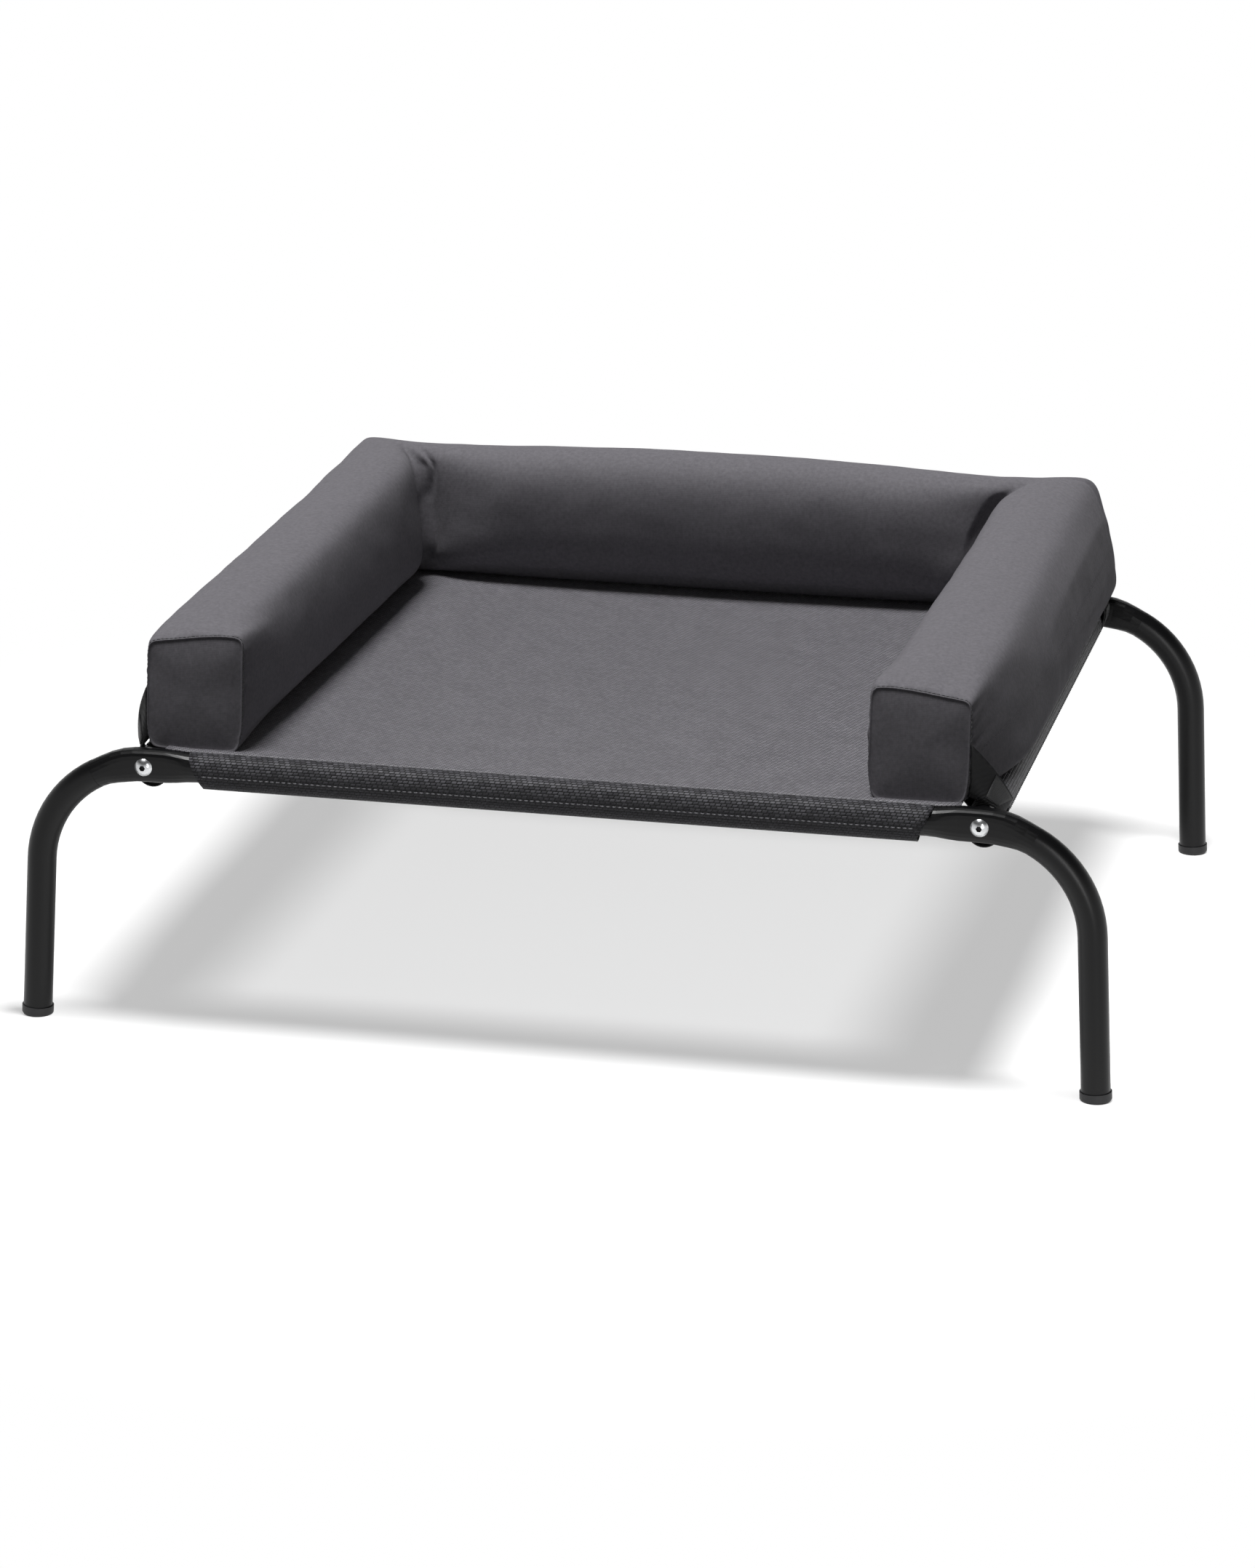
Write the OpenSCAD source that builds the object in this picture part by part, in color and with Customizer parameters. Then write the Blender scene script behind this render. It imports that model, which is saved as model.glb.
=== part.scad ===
// Raised dog cot: two bent steel tube leg frames, two side rails bolted between them,
// a taut mesh bed sewn round the four tubes, and a three-sided bolster strapped to the rails.
// Millimetres. +Z up, front of the bed towards -Y, origin on the floor under the middle of the bed.

/* [Tube frame] */
// Outside diameter of every tube
tube_d = 22; // [20:0.5:25]
// Wall thickness of the tubes
tube_wall = 1.2; // [0.8:0.1:1.6]
// Height of the tubes' centre lines above the floor
rail_h = 204; // [180:1:240]
// Distance between the centre lines of the front and rear leg frames
frame_gap = 613; // [520:1:760]
// Distance between the centre lines of the side rails, where the bends begin
rail_gap = 630; // [540:1:820]
// Centre line radius of the leg bends
bend_r = 84; // [70:1:100]
// Angle by which each leg leans outwards
leg_splay = 3; // [1:0.5:5]

/* [Pressed bolt seats] */
// Thickness of the tube where it is pressed flat for a bolt
seat_depth = 17; // [15.5:0.5:19]
// Height of the tube where it is pressed flat
seat_height = 25.5; // [23:0.5:27]
// Length that is fully flat, along the tube
seat_flat = 25; // [24:0.5:32]
// Length over which the round tube runs into the flat
seat_fade = 28; // [20:1:34]

/* [Bolts] */
// Thread diameter of the frame bolts
bolt_d = 6; // [5:1:8]
// Length of a bolt under its head
bolt_len = 44; // [38:1:55]
// Diameter of the button head
head_d = 13.5; // [11:0.5:16]
// Height of the button head
head_h = 3.4; // [2.5:0.1:4.5]
// Width across the flats of the hex socket
socket_af = 4; // [3:0.5:4.5]
// Width across the flats of the captive nut
nut_af = 10; // [9:0.5:13]
// Thickness of the captive nut
nut_h = 5; // [4:0.5:6]
// Length of the plastic plug in each rail end
plug_len = 25; // [20:1:34]

/* [Foot caps] */
// Diameter of the cap's lip
cap_d = 24; // [23.5:0.5:30]
// Height of the lip below the tube end
cap_h = 7; // [5:0.5:14]
// Length of the stem that is pushed into the leg
stem_len = 22; // [12:1:34]
// Number of grip ribs round the stem
rib_count = 8; // [6:1:12]

/* [Mesh bed] */
// Thickness of the mesh cloth
mesh_t = 1; // [0.6:0.1:1.4]
// Length of the front and rear sleeves, at the tube's mid height
long_sleeve = 550; // [440:1:552]
// Length of the side sleeves, at the tube's mid height
side_sleeve = 516; // [420:1:520]
// How far a sleeve's end is cut back from top to bottom, per millimetre of height
sleeve_slant = 0.45; // [0:0.01:0.48]
// Width of the sewn hem under the bed
hem_w = 24; // [14:1:36]
// Angle at which the sleeve leaves the tube for the hem
hem_lift = 35; // [30:1:45]

/* [Bolster] */
// Width of the bolster's body
bolster_w = 91; // [89:1:110]
// Height of the bolster's body
bolster_h = 103; // [90:1:125]
// How far the bolster's outer face stands past the rail's centre line
bolster_out = 7; // [4:0.5:10]
// Width of the end panel
end_w = 79; // [66:1:88]
// Height of the end panel
end_h = 83; // [70:1:88]
// How far the end panel is set back from the front tube's centre line
end_setback = 17; // [14:1:60]
// Length over which the body swells from the end panel
swell_len = 150; // [90:1:200]
// Extra fullness at the middle of the back
back_crown = 9; // [0:0.5:12]
// Thickness of the cover cloth
cover_t = 1.2; // [0.8:0.1:2]

/* [Straps] */
// Width of the webbing
strap_w = 25; // [18:1:25]
// Thickness of the webbing
strap_t = 1.2; // [0.8:0.1:1.6]
// How far the loop hangs slack under the rail
strap_slack = 9; // [2:0.5:16]
// Height of the strap's top edge above the rail's centre line
strap_rise = 58; // [40:1:64]
// Length of the hook patch
patch_len = 24; // [14:1:30]
// Thickness of the hook patch
patch_t = 1; // [0.6:0.1:1.6]

/* [Hidden] */
$fn = 64;
// Gap between cloth and what it wraps
cloth_gap = 0.3;
// Gap between the bolster and what it rests on
rest_gap = 0.3;
// Gap between two sewn panels at a seam
seam_gap = 0.2;
// Radial clearance of plugs and stems in the tubes
plug_gap = 0.2;
// Radial clearance of a bolt in its holes
bolt_gap = 0.3;
// Radial clearance of a bolt in its nut
thread_gap = 0.05;
// Gap between a rail's end and the pressed seat
butt_gap = 0.05;
// Overshoot of every cut, so that no faces coincide
over = 1;

tube_r = tube_d / 2;
bore_r = tube_r - tube_wall;
frame_y = frame_gap / 2;
rail_x = rail_gap / 2;
sleeve_ri = tube_r + cloth_gap;
sleeve_ro = sleeve_ri + mesh_t;
bed_z = rail_h + sleeve_ro;
sleeve_steps = 30;
rail_end_y = frame_y - seat_depth / 2 - butt_gap;

// Leg: the bend ends leaning by leg_splay, and the straight leg runs on to the floor
bend_angle = 90 - leg_splay;
bend_end_x = rail_x + bend_r * sin(bend_angle);
bend_end_z = rail_h - bend_r * (1 - cos(bend_angle));
foot_x = bend_end_x + bend_end_z * tan(leg_splay);
leg_len = bend_end_z / cos(leg_splay);

// Pressed seat: rings along the tube on each side of the bolt
seat_half = seat_flat / 2 + seat_fade;
seat_arc = seat_half / bend_r * 180 / PI;
seat_sides = 24;
seat_steps = 10;
seat_square = 3.2;
seat_sink = 1.5;
seat_shy = 0.1;

// Bolster: its section is a superellipse that squares off towards the end panel
strap_ri = tube_r + cloth_gap;
strap_ro = strap_ri + strap_t;
bolster_z = rail_h + sleeve_ri + max(mesh_t, strap_t) + rest_gap;
arm_x = rail_x + bolster_out - bolster_w / 2;
back_y = frame_y + bolster_out - bolster_w / 2;
end_y = -frame_y + end_setback;
body_square = 2.35;
end_square = 5.5;
ring_sides = 32;
swell_steps = [0, 0.05, 0.13, 0.25, 0.42, 0.65, 1];
run_steps = [0.35, 0.7, 1];
back_steps = [0, 0.14, 0.3, 0.5, 0.7, 0.86, 1];

// Straps sit just inside the leg frames, where the side sleeves stop
strap_y = rail_end_y - strap_w / 2 - 5;

// A superellipse: half sizes a and b, squareness n, at angle t
function swing(v, n) = sign(v) * pow(abs(v), 2 / n);
function outline(a, b, n, sides) = [
    for (k = [0 : sides - 1]) [a * swing(cos(360 * k / sides), n), b * swing(sin(360 * k / sides), n)]
];
function blend(p, q, w) = p + (q - p) * w;

// Triangles between ring i and ring i + 1 of a loft
function band(i, sides, start = 0) = [
    for (k = [0 : sides - 1])
        let (a = start + i * sides + k, b = start + i * sides + (k + 1) % sides)
        each [[a, b, b + sides], [a, b + sides, a + sides]]
];
function flipped(faces) = [for (f = faces) [f[0], f[2], f[1]]];

// Solid through a list of rings, closed at both ends
module loft(rings) {
    sides = len(rings[0]);
    last = (len(rings) - 1) * sides;
    walls = [for (i = [0 : len(rings) - 2]) each band(i, sides)];
    front = [for (k = [1 : sides - 2]) [0, k + 1, k]];
    rear = [for (k = [1 : sides - 2]) [last, last + k, last + k + 1]];
    polyhedron([for (r = rings) each r], concat(walls, front, rear), convexity = 4);
}

// Cloth wall between an outer and an inner list of rings, open at both ends
module loft_wall(outer, inner) {
    sides = len(outer[0]);
    count = len(outer);
    shift = count * sides;
    last = (count - 1) * sides;
    skin = [for (i = [0 : count - 2]) each band(i, sides)];
    lining = [for (i = [0 : count - 2]) each band(i, sides, shift)];
    rims = [
        for (k = [0 : sides - 1])
            let (n = (k + 1) % sides)
            each [
                [k, shift + n, n], [k, shift + k, shift + n],
                [last + k, last + n, shift + last + n], [last + k, shift + last + n, shift + last + k]
            ]
    ];
    polyhedron([for (r = concat(outer, inner)) each r], concat(skin, flipped(lining), rims), convexity = 6);
}

module mirrored_x() {
    children();
    mirror([1, 0, 0]) children();
}

module at_corners() {
    for (sx = [-1, 1], sy = [-1, 1])
        mirror([sx < 0 ? 1 : 0, 0, 0]) mirror([0, sy < 0 ? 1 : 0, 0]) children();
}

// In the plane of the right-hand bend: origin at its centre, the bend ends on +X and the leg runs along -Y
module on_bend() {
    translate([rail_x, 0, rail_h - bend_r]) rotate([90, 0, 0]) rotate([0, 0, leg_splay]) children();
}

// Along a leg: origin where its centre line meets the floor, +Z up the leg
module on_leg() {
    on_bend() translate([bend_r, -leg_len, 0]) rotate([-90, 0, 0]) children();
}

// Share of the press at a distance s along the tube from the bolt
function press(s) =
    abs(s) <= seat_flat / 2 ? 1 : (1 + cos(180 * min(1, (abs(s) - seat_flat / 2) / seat_fade))) / 2;

// One ring round the right half of a leg frame, at a distance s from the bolt
function seat_ring(s, r, inset) =
    let (
        w = press(s),
        turn = max(0, s) / bend_r * 180 / PI,
        half_y = blend(r - seat_shy, seat_depth / 2 - inset, w),
        half_z = blend(r - seat_shy, seat_height / 2 - inset, w),
        x0 = rail_x + min(0, s) + bend_r * sin(turn),
        z0 = rail_h - bend_r * (1 - cos(turn))
    )
    [
        for (p = outline(half_z, half_y, blend(2, seat_square, w), seat_sides))
            [x0 + p[0] * sin(turn), p[1], z0 + p[0] * cos(turn)]
    ];

// Solid bar in the shape of a leg frame: inset is 0 for the outside of the tube, the wall for its bore
module leg_bar(inset, tail) {
    r = tube_r - inset;
    span = rail_x - seat_half;
    translate([-span, 0, rail_h]) rotate([0, 90, 0]) cylinder(r = r, h = 2 * span);
    stations = [for (i = [0 : seat_steps]) blend(-seat_half, seat_half, i / seat_steps)];
    rings = concat(
        [seat_ring(-seat_half - seat_sink, r, inset)],
        [for (s = stations) seat_ring(s, r, inset)],
        [seat_ring(seat_half + seat_sink, r, inset)]
    );
    mirrored_x() {
        loft(rings);
        on_bend() {
            rotate_extrude(angle = bend_angle - seat_arc) translate([bend_r, 0]) circle(r = r);
            translate([bend_r, 0, 0]) rotate([90, 0, 0]) cylinder(r = r, h = leg_len - cap_h + tail);
        }
    }
}

module leg_frame() {
    difference() {
        leg_bar(0, 0);
        leg_bar(tube_wall, over);
        mirrored_x() translate([rail_x, 0, rail_h]) rotate([90, 0, 0])
            cylinder(r = bolt_d / 2 + bolt_gap, h = tube_d + 2 * over, center = true);
    }
}

module front_leg_frame() {
    color("#17171a") translate([0, -frame_y, 0]) leg_frame();
}

module rear_leg_frame() {
    color("#17171a") translate([0, frame_y, 0]) leg_frame();
}

module side_rail() {
    translate([rail_x, 0, rail_h]) rotate([90, 0, 0]) difference() {
        cylinder(r = tube_r, h = 2 * rail_end_y, center = true);
        cylinder(r = bore_r, h = 2 * rail_end_y + 2 * over, center = true);
    }
}

module right_side_rail() {
    color("#17171a") side_rail();
}

module left_side_rail() {
    color("#17171a") mirror([1, 0, 0]) side_rail();
}

// On a bolt's axis at the right rear corner: origin on the rail's end, +Z out of the rail
module on_bolt() {
    translate([rail_x, rail_end_y, rail_h]) rotate([-90, 0, 0]) children();
}

function hex_r(af) = af / 2 / cos(30);

// Plug in the rail's end, with a pocket for the nut at its inner end
module rail_end_plugs() {
    color("#2b2b2e") at_corners() on_bolt() difference() {
        translate([0, 0, -plug_len]) cylinder(r = bore_r - plug_gap, h = plug_len);
        translate([0, 0, -plug_len - over]) cylinder(r = bolt_d / 2 + bolt_gap, h = plug_len + 2 * over);
        translate([0, 0, -plug_len - over])
            cylinder(r = hex_r(nut_af + 2 * plug_gap), h = nut_h + over, $fn = 6);
    }
}

module rail_nuts() {
    color("#b9bcc0") at_corners() on_bolt() translate([0, 0, -plug_len]) difference() {
        cylinder(r = hex_r(nut_af), h = nut_h, $fn = 6);
        translate([0, 0, -over]) cylinder(r = bolt_d / 2 + thread_gap, h = nut_h + 2 * over);
    }
}

// Button-head bolts: the head bears on the pressed seat's outer face
module frame_bolts() {
    crown_r = (head_d * head_d / 4 + head_h * head_h) / (2 * head_h);
    color("#d6d7d9") at_corners() on_bolt() translate([0, 0, seat_depth + 2 * butt_gap]) {
        difference() {
            intersection() {
                cylinder(r = head_d / 2, h = head_h);
                translate([0, 0, head_h - crown_r]) sphere(r = crown_r);
            }
            translate([0, 0, head_h * 0.35]) cylinder(r = hex_r(socket_af), h = head_h, $fn = 6);
        }
        translate([0, 0, -bolt_len]) cylinder(r = bolt_d / 2, h = bolt_len + head_h * 0.2);
    }
}

// Push-in cap: lip under the tube's end, ribbed stem inside it, sole cut level with the floor
module foot_cap() {
    stem_r = bore_r - plug_gap - 0.8;
    sole_chamfer = 1.5;
    color("#101012") intersection() {
        on_leg() {
            translate([0, 0, -over]) cylinder(r1 = cap_d / 2 - sole_chamfer, r2 = cap_d / 2, h = sole_chamfer + over);
            translate([0, 0, sole_chamfer]) cylinder(r = cap_d / 2, h = cap_h - sole_chamfer);
            cylinder(r = stem_r, h = cap_h + stem_len);
            for (k = [0 : rib_count - 1]) rotate([0, 0, 360 * k / rib_count])
                translate([0, -0.6, cap_h]) cube([bore_r - plug_gap, 1.2, stem_len - 3]);
        }
        translate([foot_x - cap_d, -cap_d, 0]) cube([2 * cap_d, 2 * cap_d, cap_h + stem_len + cap_d]);
    }
}

module foot_cap_front_left() {
    translate([0, -frame_y, 0]) mirror([1, 0, 0]) foot_cap();
}

module foot_cap_front_right() {
    translate([0, -frame_y, 0]) foot_cap();
}

module foot_cap_rear_left() {
    translate([0, frame_y, 0]) mirror([1, 0, 0]) foot_cap();
}

module foot_cap_rear_right() {
    translate([0, frame_y, 0]) foot_cap();
}

// Flat mesh, notched at the corners so that the rails and straps stay clear
module bed_mesh() {
    top_slant = sleeve_slant * sleeve_ro;
    long_half = long_sleeve / 2 + top_slant;
    side_half = side_sleeve / 2 + top_slant;
    notch_x = rail_x - strap_ro - 4;
    notch_y = frame_y - tube_r - 1.5;
    corner = [
        [long_half, frame_y], [notch_x, notch_y],
        [notch_x, side_half + 8], [notch_x + 3, side_half], [rail_x, side_half]
    ];
    half = [for (p = corner) p, for (k = [4 : -1 : 0]) [corner[k][0], -corner[k][1]]];
    points = concat(half, [for (k = [9 : -1 : 0]) [-half[k][0], half[k][1]]]);
    color("#3b3b3e") translate([0, 0, bed_z - mesh_t]) linear_extrude(mesh_t) polygon(points);
}

// Section of a sleeve: from the bed's edge over the tube, round it and up to a hem under the bed.
// +X points out of the bed and +Y up, from the tube's centre.
module sleeve_section() {
    leave = -180 + hem_lift;
    n = [cos(leave), sin(leave)];
    t = [sin(leave), -cos(leave)];
    hem_top = sleeve_ri - seam_gap;
    hem_low = hem_top - mesh_t;
    inner = sleeve_ri * n + (hem_top - sleeve_ri * n[1]) / t[1] * t;
    outer = sleeve_ro * n + (hem_low - sleeve_ro * n[1]) / t[1] * t;
    turns = [for (i = [0 : sleeve_steps]) blend(90, leave, i / sleeve_steps)];
    polygon(concat(
        [for (a = turns) sleeve_ro * [cos(a), sin(a)]],
        [outer, [outer[0] - hem_w, hem_low], [outer[0] - hem_w, hem_top], inner],
        [for (i = [sleeve_steps : -1 : 0]) sleeve_ri * [cos(turns[i]), sin(turns[i])]]
    ));
}

// Sleeve along X, centred, with ends cut back towards the bottom
module sleeve(length) {
    wide = length + 4 * tube_d;
    tall = 6 * tube_d;
    difference() {
        rotate([90, 0, -90]) linear_extrude(wide, center = true) sleeve_section();
        mirrored_x() translate([length / 2, 0, 0]) rotate([0, atan(sleeve_slant), 0])
            translate([0, -tall, -tall]) cube([wide, 2 * tall, 2 * tall]);
    }
}

module front_sleeve() {
    color("#2a2a2d") translate([0, -frame_y, rail_h]) rotate([0, 0, 180]) mirror([0, 1, 0]) sleeve(long_sleeve);
}

module rear_sleeve() {
    color("#2a2a2d") mirror([0, 1, 0]) translate([0, -frame_y, rail_h])
        rotate([0, 0, 180]) mirror([0, 1, 0]) sleeve(long_sleeve);
}

module right_sleeve() {
    color("#2a2a2d") translate([rail_x, 0, rail_h]) rotate([0, 0, 90]) sleeve(side_sleeve);
}

module left_sleeve() {
    color("#2a2a2d") mirror([1, 0, 0]) translate([rail_x, 0, rail_h]) rotate([0, 0, 90]) sleeve(side_sleeve);
}

// Bolster section at a distance d behind the end panel: [half width, half height, squareness]
function swell(d) = sin(90 * min(1, d / swell_len));
function arm_size(d) = [
    blend(end_w, bolster_w, swell(d)) / 2,
    blend(end_h, bolster_h, swell(d)) / 2,
    blend(end_square, body_square, sqrt(swell(d)))
];

// Right arm: straight rings over the swell, then rings that lean into the mitre with the back
function arm_rings(inset, front_gap, mitre_gap) = concat(
    [
        for (f = swell_steps)
            let (d = f * swell_len, s = arm_size(d))
            [
                for (p = outline(s[0] - inset, s[1] - inset, s[2], ring_sides))
                    [arm_x + p[0], end_y + max(d, front_gap), bolster_z + s[1] + p[1]]
            ]
    ],
    [
        for (f = run_steps)
            let (s = arm_size(swell_len))
            [
                for (p = outline(s[0] - inset, s[1] - inset, s[2], ring_sides))
                    [
                        arm_x + p[0],
                        blend(end_y + swell_len, back_y + p[0] - mitre_gap, f),
                        bolster_z + s[1] + p[1]
                    ]
            ]
    ]
);

// Back: from the right mitre to the left one, a little fuller at the middle
function back_rings(inset, mitre_gap) = [
    for (f = back_steps)
        let (
            crown = back_crown * sin(180 * f) / 2,
            a = bolster_w / 2 + crown / 2,
            b = bolster_h / 2 + crown
        )
        [
            for (p = outline(a - inset, b - inset, body_square, ring_sides))
                [
                    blend(arm_x + p[0] - mitre_gap, -arm_x - p[0] + mitre_gap, f),
                    back_y - crown / 2 + p[0],
                    bolster_z + b + p[1]
                ]
        ]
];

core_inset = cover_t + cloth_gap;

module arm_cover() {
    loft_wall(arm_rings(0, 0, seam_gap), arm_rings(cover_t, 0, seam_gap));
}

module arm_core() {
    loft(arm_rings(core_inset, cloth_gap, core_inset));
}

module right_arm_cover() {
    color("#4a4a4d") arm_cover();
}

module left_arm_cover() {
    color("#4a4a4d") mirror([1, 0, 0]) arm_cover();
}

module back_cover() {
    color("#4a4a4d") loft_wall(back_rings(0, seam_gap), back_rings(cover_t, seam_gap));
}

module right_arm_core() {
    color("#e9e6da") arm_core();
}

module left_arm_core() {
    color("#e9e6da") mirror([1, 0, 0]) arm_core();
}

module back_core() {
    color("#e9e6da") loft(back_rings(core_inset, core_inset));
}

// Square panel sewn into an arm's front end
module end_panel() {
    translate([arm_x, end_y - seam_gap / 2, bolster_z + end_h / 2]) rotate([90, 0, 0])
        linear_extrude(cover_t) polygon(outline(end_w / 2, end_h / 2, end_square, 2 * ring_sides));
}

module right_end_panel() {
    color("#39393b") end_panel();
}

module left_end_panel() {
    color("#39393b") mirror([1, 0, 0]) end_panel();
}

// Webbing loop round the rail, with a tab up the bolster's outer side.
// +X points out of the bed and +Y up, from the rail's centre; top_x is where the tab's inner face ends.
module strap_section(top_x) {
    difference() {
        union() {
            circle(r = strap_ro);
            translate([0, -strap_slack]) circle(r = strap_ro);
            translate([-strap_ro, -strap_slack]) square([2 * strap_ro, strap_slack]);
        }
        circle(r = strap_ri);
        translate([0, -strap_slack]) circle(r = strap_ri);
        translate([-strap_ri, -strap_slack]) square([2 * strap_ri, strap_slack]);
    }
    polygon([[strap_ri, 0], [strap_ro, 0], [top_x + strap_t, strap_rise], [top_x, strap_rise]]);
}

// Hook patch on the tab's outer face, a third of the way up
module patch_section(top_x) {
    low = strap_rise / 4;
    lean = (top_x + strap_t - strap_ro) / strap_rise;
    x0 = strap_ro + lean * low;
    x1 = strap_ro + lean * (low + patch_len);
    polygon([[x0, low], [x0 + patch_t, low], [x1 + patch_t, low + patch_len], [x1, low + patch_len]]);
}

// Where a tab's inner face meets the bolster, from the rail's centre
front_tab_x = arm_x + arm_size(-(strap_y - strap_w / 2) - end_y)[0] + cloth_gap - rail_x;
rear_tab_x = bolster_out + cloth_gap;

module at_strap(sy) {
    translate([rail_x, sy * strap_y, rail_h]) rotate([90, 0, 0]) linear_extrude(strap_w, center = true) children();
}

module front_strap() {
    at_strap(-1) strap_section(front_tab_x);
}

module rear_strap() {
    at_strap(1) strap_section(rear_tab_x);
}

module strap_front_left() {
    color("#0e0e10") mirror([1, 0, 0]) front_strap();
}

module strap_front_right() {
    color("#0e0e10") front_strap();
}

module strap_rear_left() {
    color("#0e0e10") mirror([1, 0, 0]) rear_strap();
}

module strap_rear_right() {
    color("#0e0e10") rear_strap();
}

module strap_hook_patches() {
    color("#1a1a1c") mirrored_x() {
        at_strap(-1) patch_section(front_tab_x);
        at_strap(1) patch_section(rear_tab_x);
    }
}

front_leg_frame();
rear_leg_frame();
left_side_rail();
right_side_rail();
rail_end_plugs();
rail_nuts();
frame_bolts();
foot_cap_front_left();
foot_cap_front_right();
foot_cap_rear_left();
foot_cap_rear_right();
bed_mesh();
front_sleeve();
rear_sleeve();
left_sleeve();
right_sleeve();
left_arm_cover();
back_cover();
right_arm_cover();
left_end_panel();
right_end_panel();
left_arm_core();
back_core();
right_arm_core();
strap_front_left();
strap_front_right();
strap_rear_left();
strap_rear_right();
strap_hook_patches();
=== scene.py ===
"""Raised dog cot with a three-sided bolster: its looks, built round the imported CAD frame."""
import logging
import math
from dataclasses import dataclass, field
from enum import Enum
from typing import Any, Mapping, Sequence

import bmesh
import bpy
import numpy as np
from bpy.types import Node, NodeSocket, NodeTree
from mathutils import Matrix, Vector, noise


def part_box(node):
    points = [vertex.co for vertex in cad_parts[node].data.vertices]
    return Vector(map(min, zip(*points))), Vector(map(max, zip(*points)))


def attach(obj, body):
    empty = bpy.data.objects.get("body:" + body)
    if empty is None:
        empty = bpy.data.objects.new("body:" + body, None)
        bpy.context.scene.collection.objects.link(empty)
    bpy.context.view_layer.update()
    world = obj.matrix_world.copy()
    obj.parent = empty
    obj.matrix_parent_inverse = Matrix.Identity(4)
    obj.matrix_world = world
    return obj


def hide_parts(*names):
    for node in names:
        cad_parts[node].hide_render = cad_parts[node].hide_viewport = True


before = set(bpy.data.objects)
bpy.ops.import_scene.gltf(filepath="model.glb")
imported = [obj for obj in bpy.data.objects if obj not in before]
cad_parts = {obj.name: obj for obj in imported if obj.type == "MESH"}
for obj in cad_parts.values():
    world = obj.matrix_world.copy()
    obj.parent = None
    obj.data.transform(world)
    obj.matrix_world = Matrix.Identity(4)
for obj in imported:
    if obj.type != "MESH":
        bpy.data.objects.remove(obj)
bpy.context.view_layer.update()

log = logging.getLogger("dog_cot")

MM = 0.001
BODY = "root"
# The wave texture repeats every 2 pi / 20 units at scale 1
WAVE_PERIOD = math.pi / 10
# Each row of floats in the mesh is pushed along by this share of its distance across the cloth
MESH_SLANT = 0.45
# A length that is as good as none, to divide by in place of nothing
TINY = 1e-9
# Points round a loop before it is spaced evenly
DENSE = 1440


class Side(Enum):
    """The dog's left and right of the cot, as the sign of X."""

    LEFT = -1
    RIGHT = 1


class End(Enum):
    """The open front and the closed rear of the cot, as the sign of Y."""

    FRONT = -1
    REAR = 1


def linear(hex_colour: str) -> tuple[float, float, float, float]:
    """Turns an sRGB hex colour into a linear one.

    Args:
        hex_colour: the colour as "#rrggbb".

    Returns:
        Red, green, blue and an alpha of 1.
    """
    parts = [int(hex_colour[i : i + 2], 16) / 255 for i in (1, 3, 5)]
    red, green, blue = (p / 12.92 if p <= 0.04045 else ((p + 0.055) / 1.055) ** 2.4 for p in parts)
    return red, green, blue, 1.0


def add_node(
    tree: NodeTree, kind: str, inputs: Mapping[str | int, Any] | None = None, **settings: Any
) -> Node:
    """Adds one node with its settings, values and links.

    Args:
        tree: the node tree that takes the node.
        kind: the node's type name.
        inputs: socket name or number to a value, or to the output socket that feeds it.
        settings: the node's own properties.

    Returns:
        The new node.
    """
    node = tree.nodes.new(kind)
    for key, value in settings.items():
        setattr(node, key, value)
    for key, value in (inputs or {}).items():
        if isinstance(value, NodeSocket):
            tree.links.new(value, node.inputs[key])
        else:
            node.inputs[key].default_value = value
    return node


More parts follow.
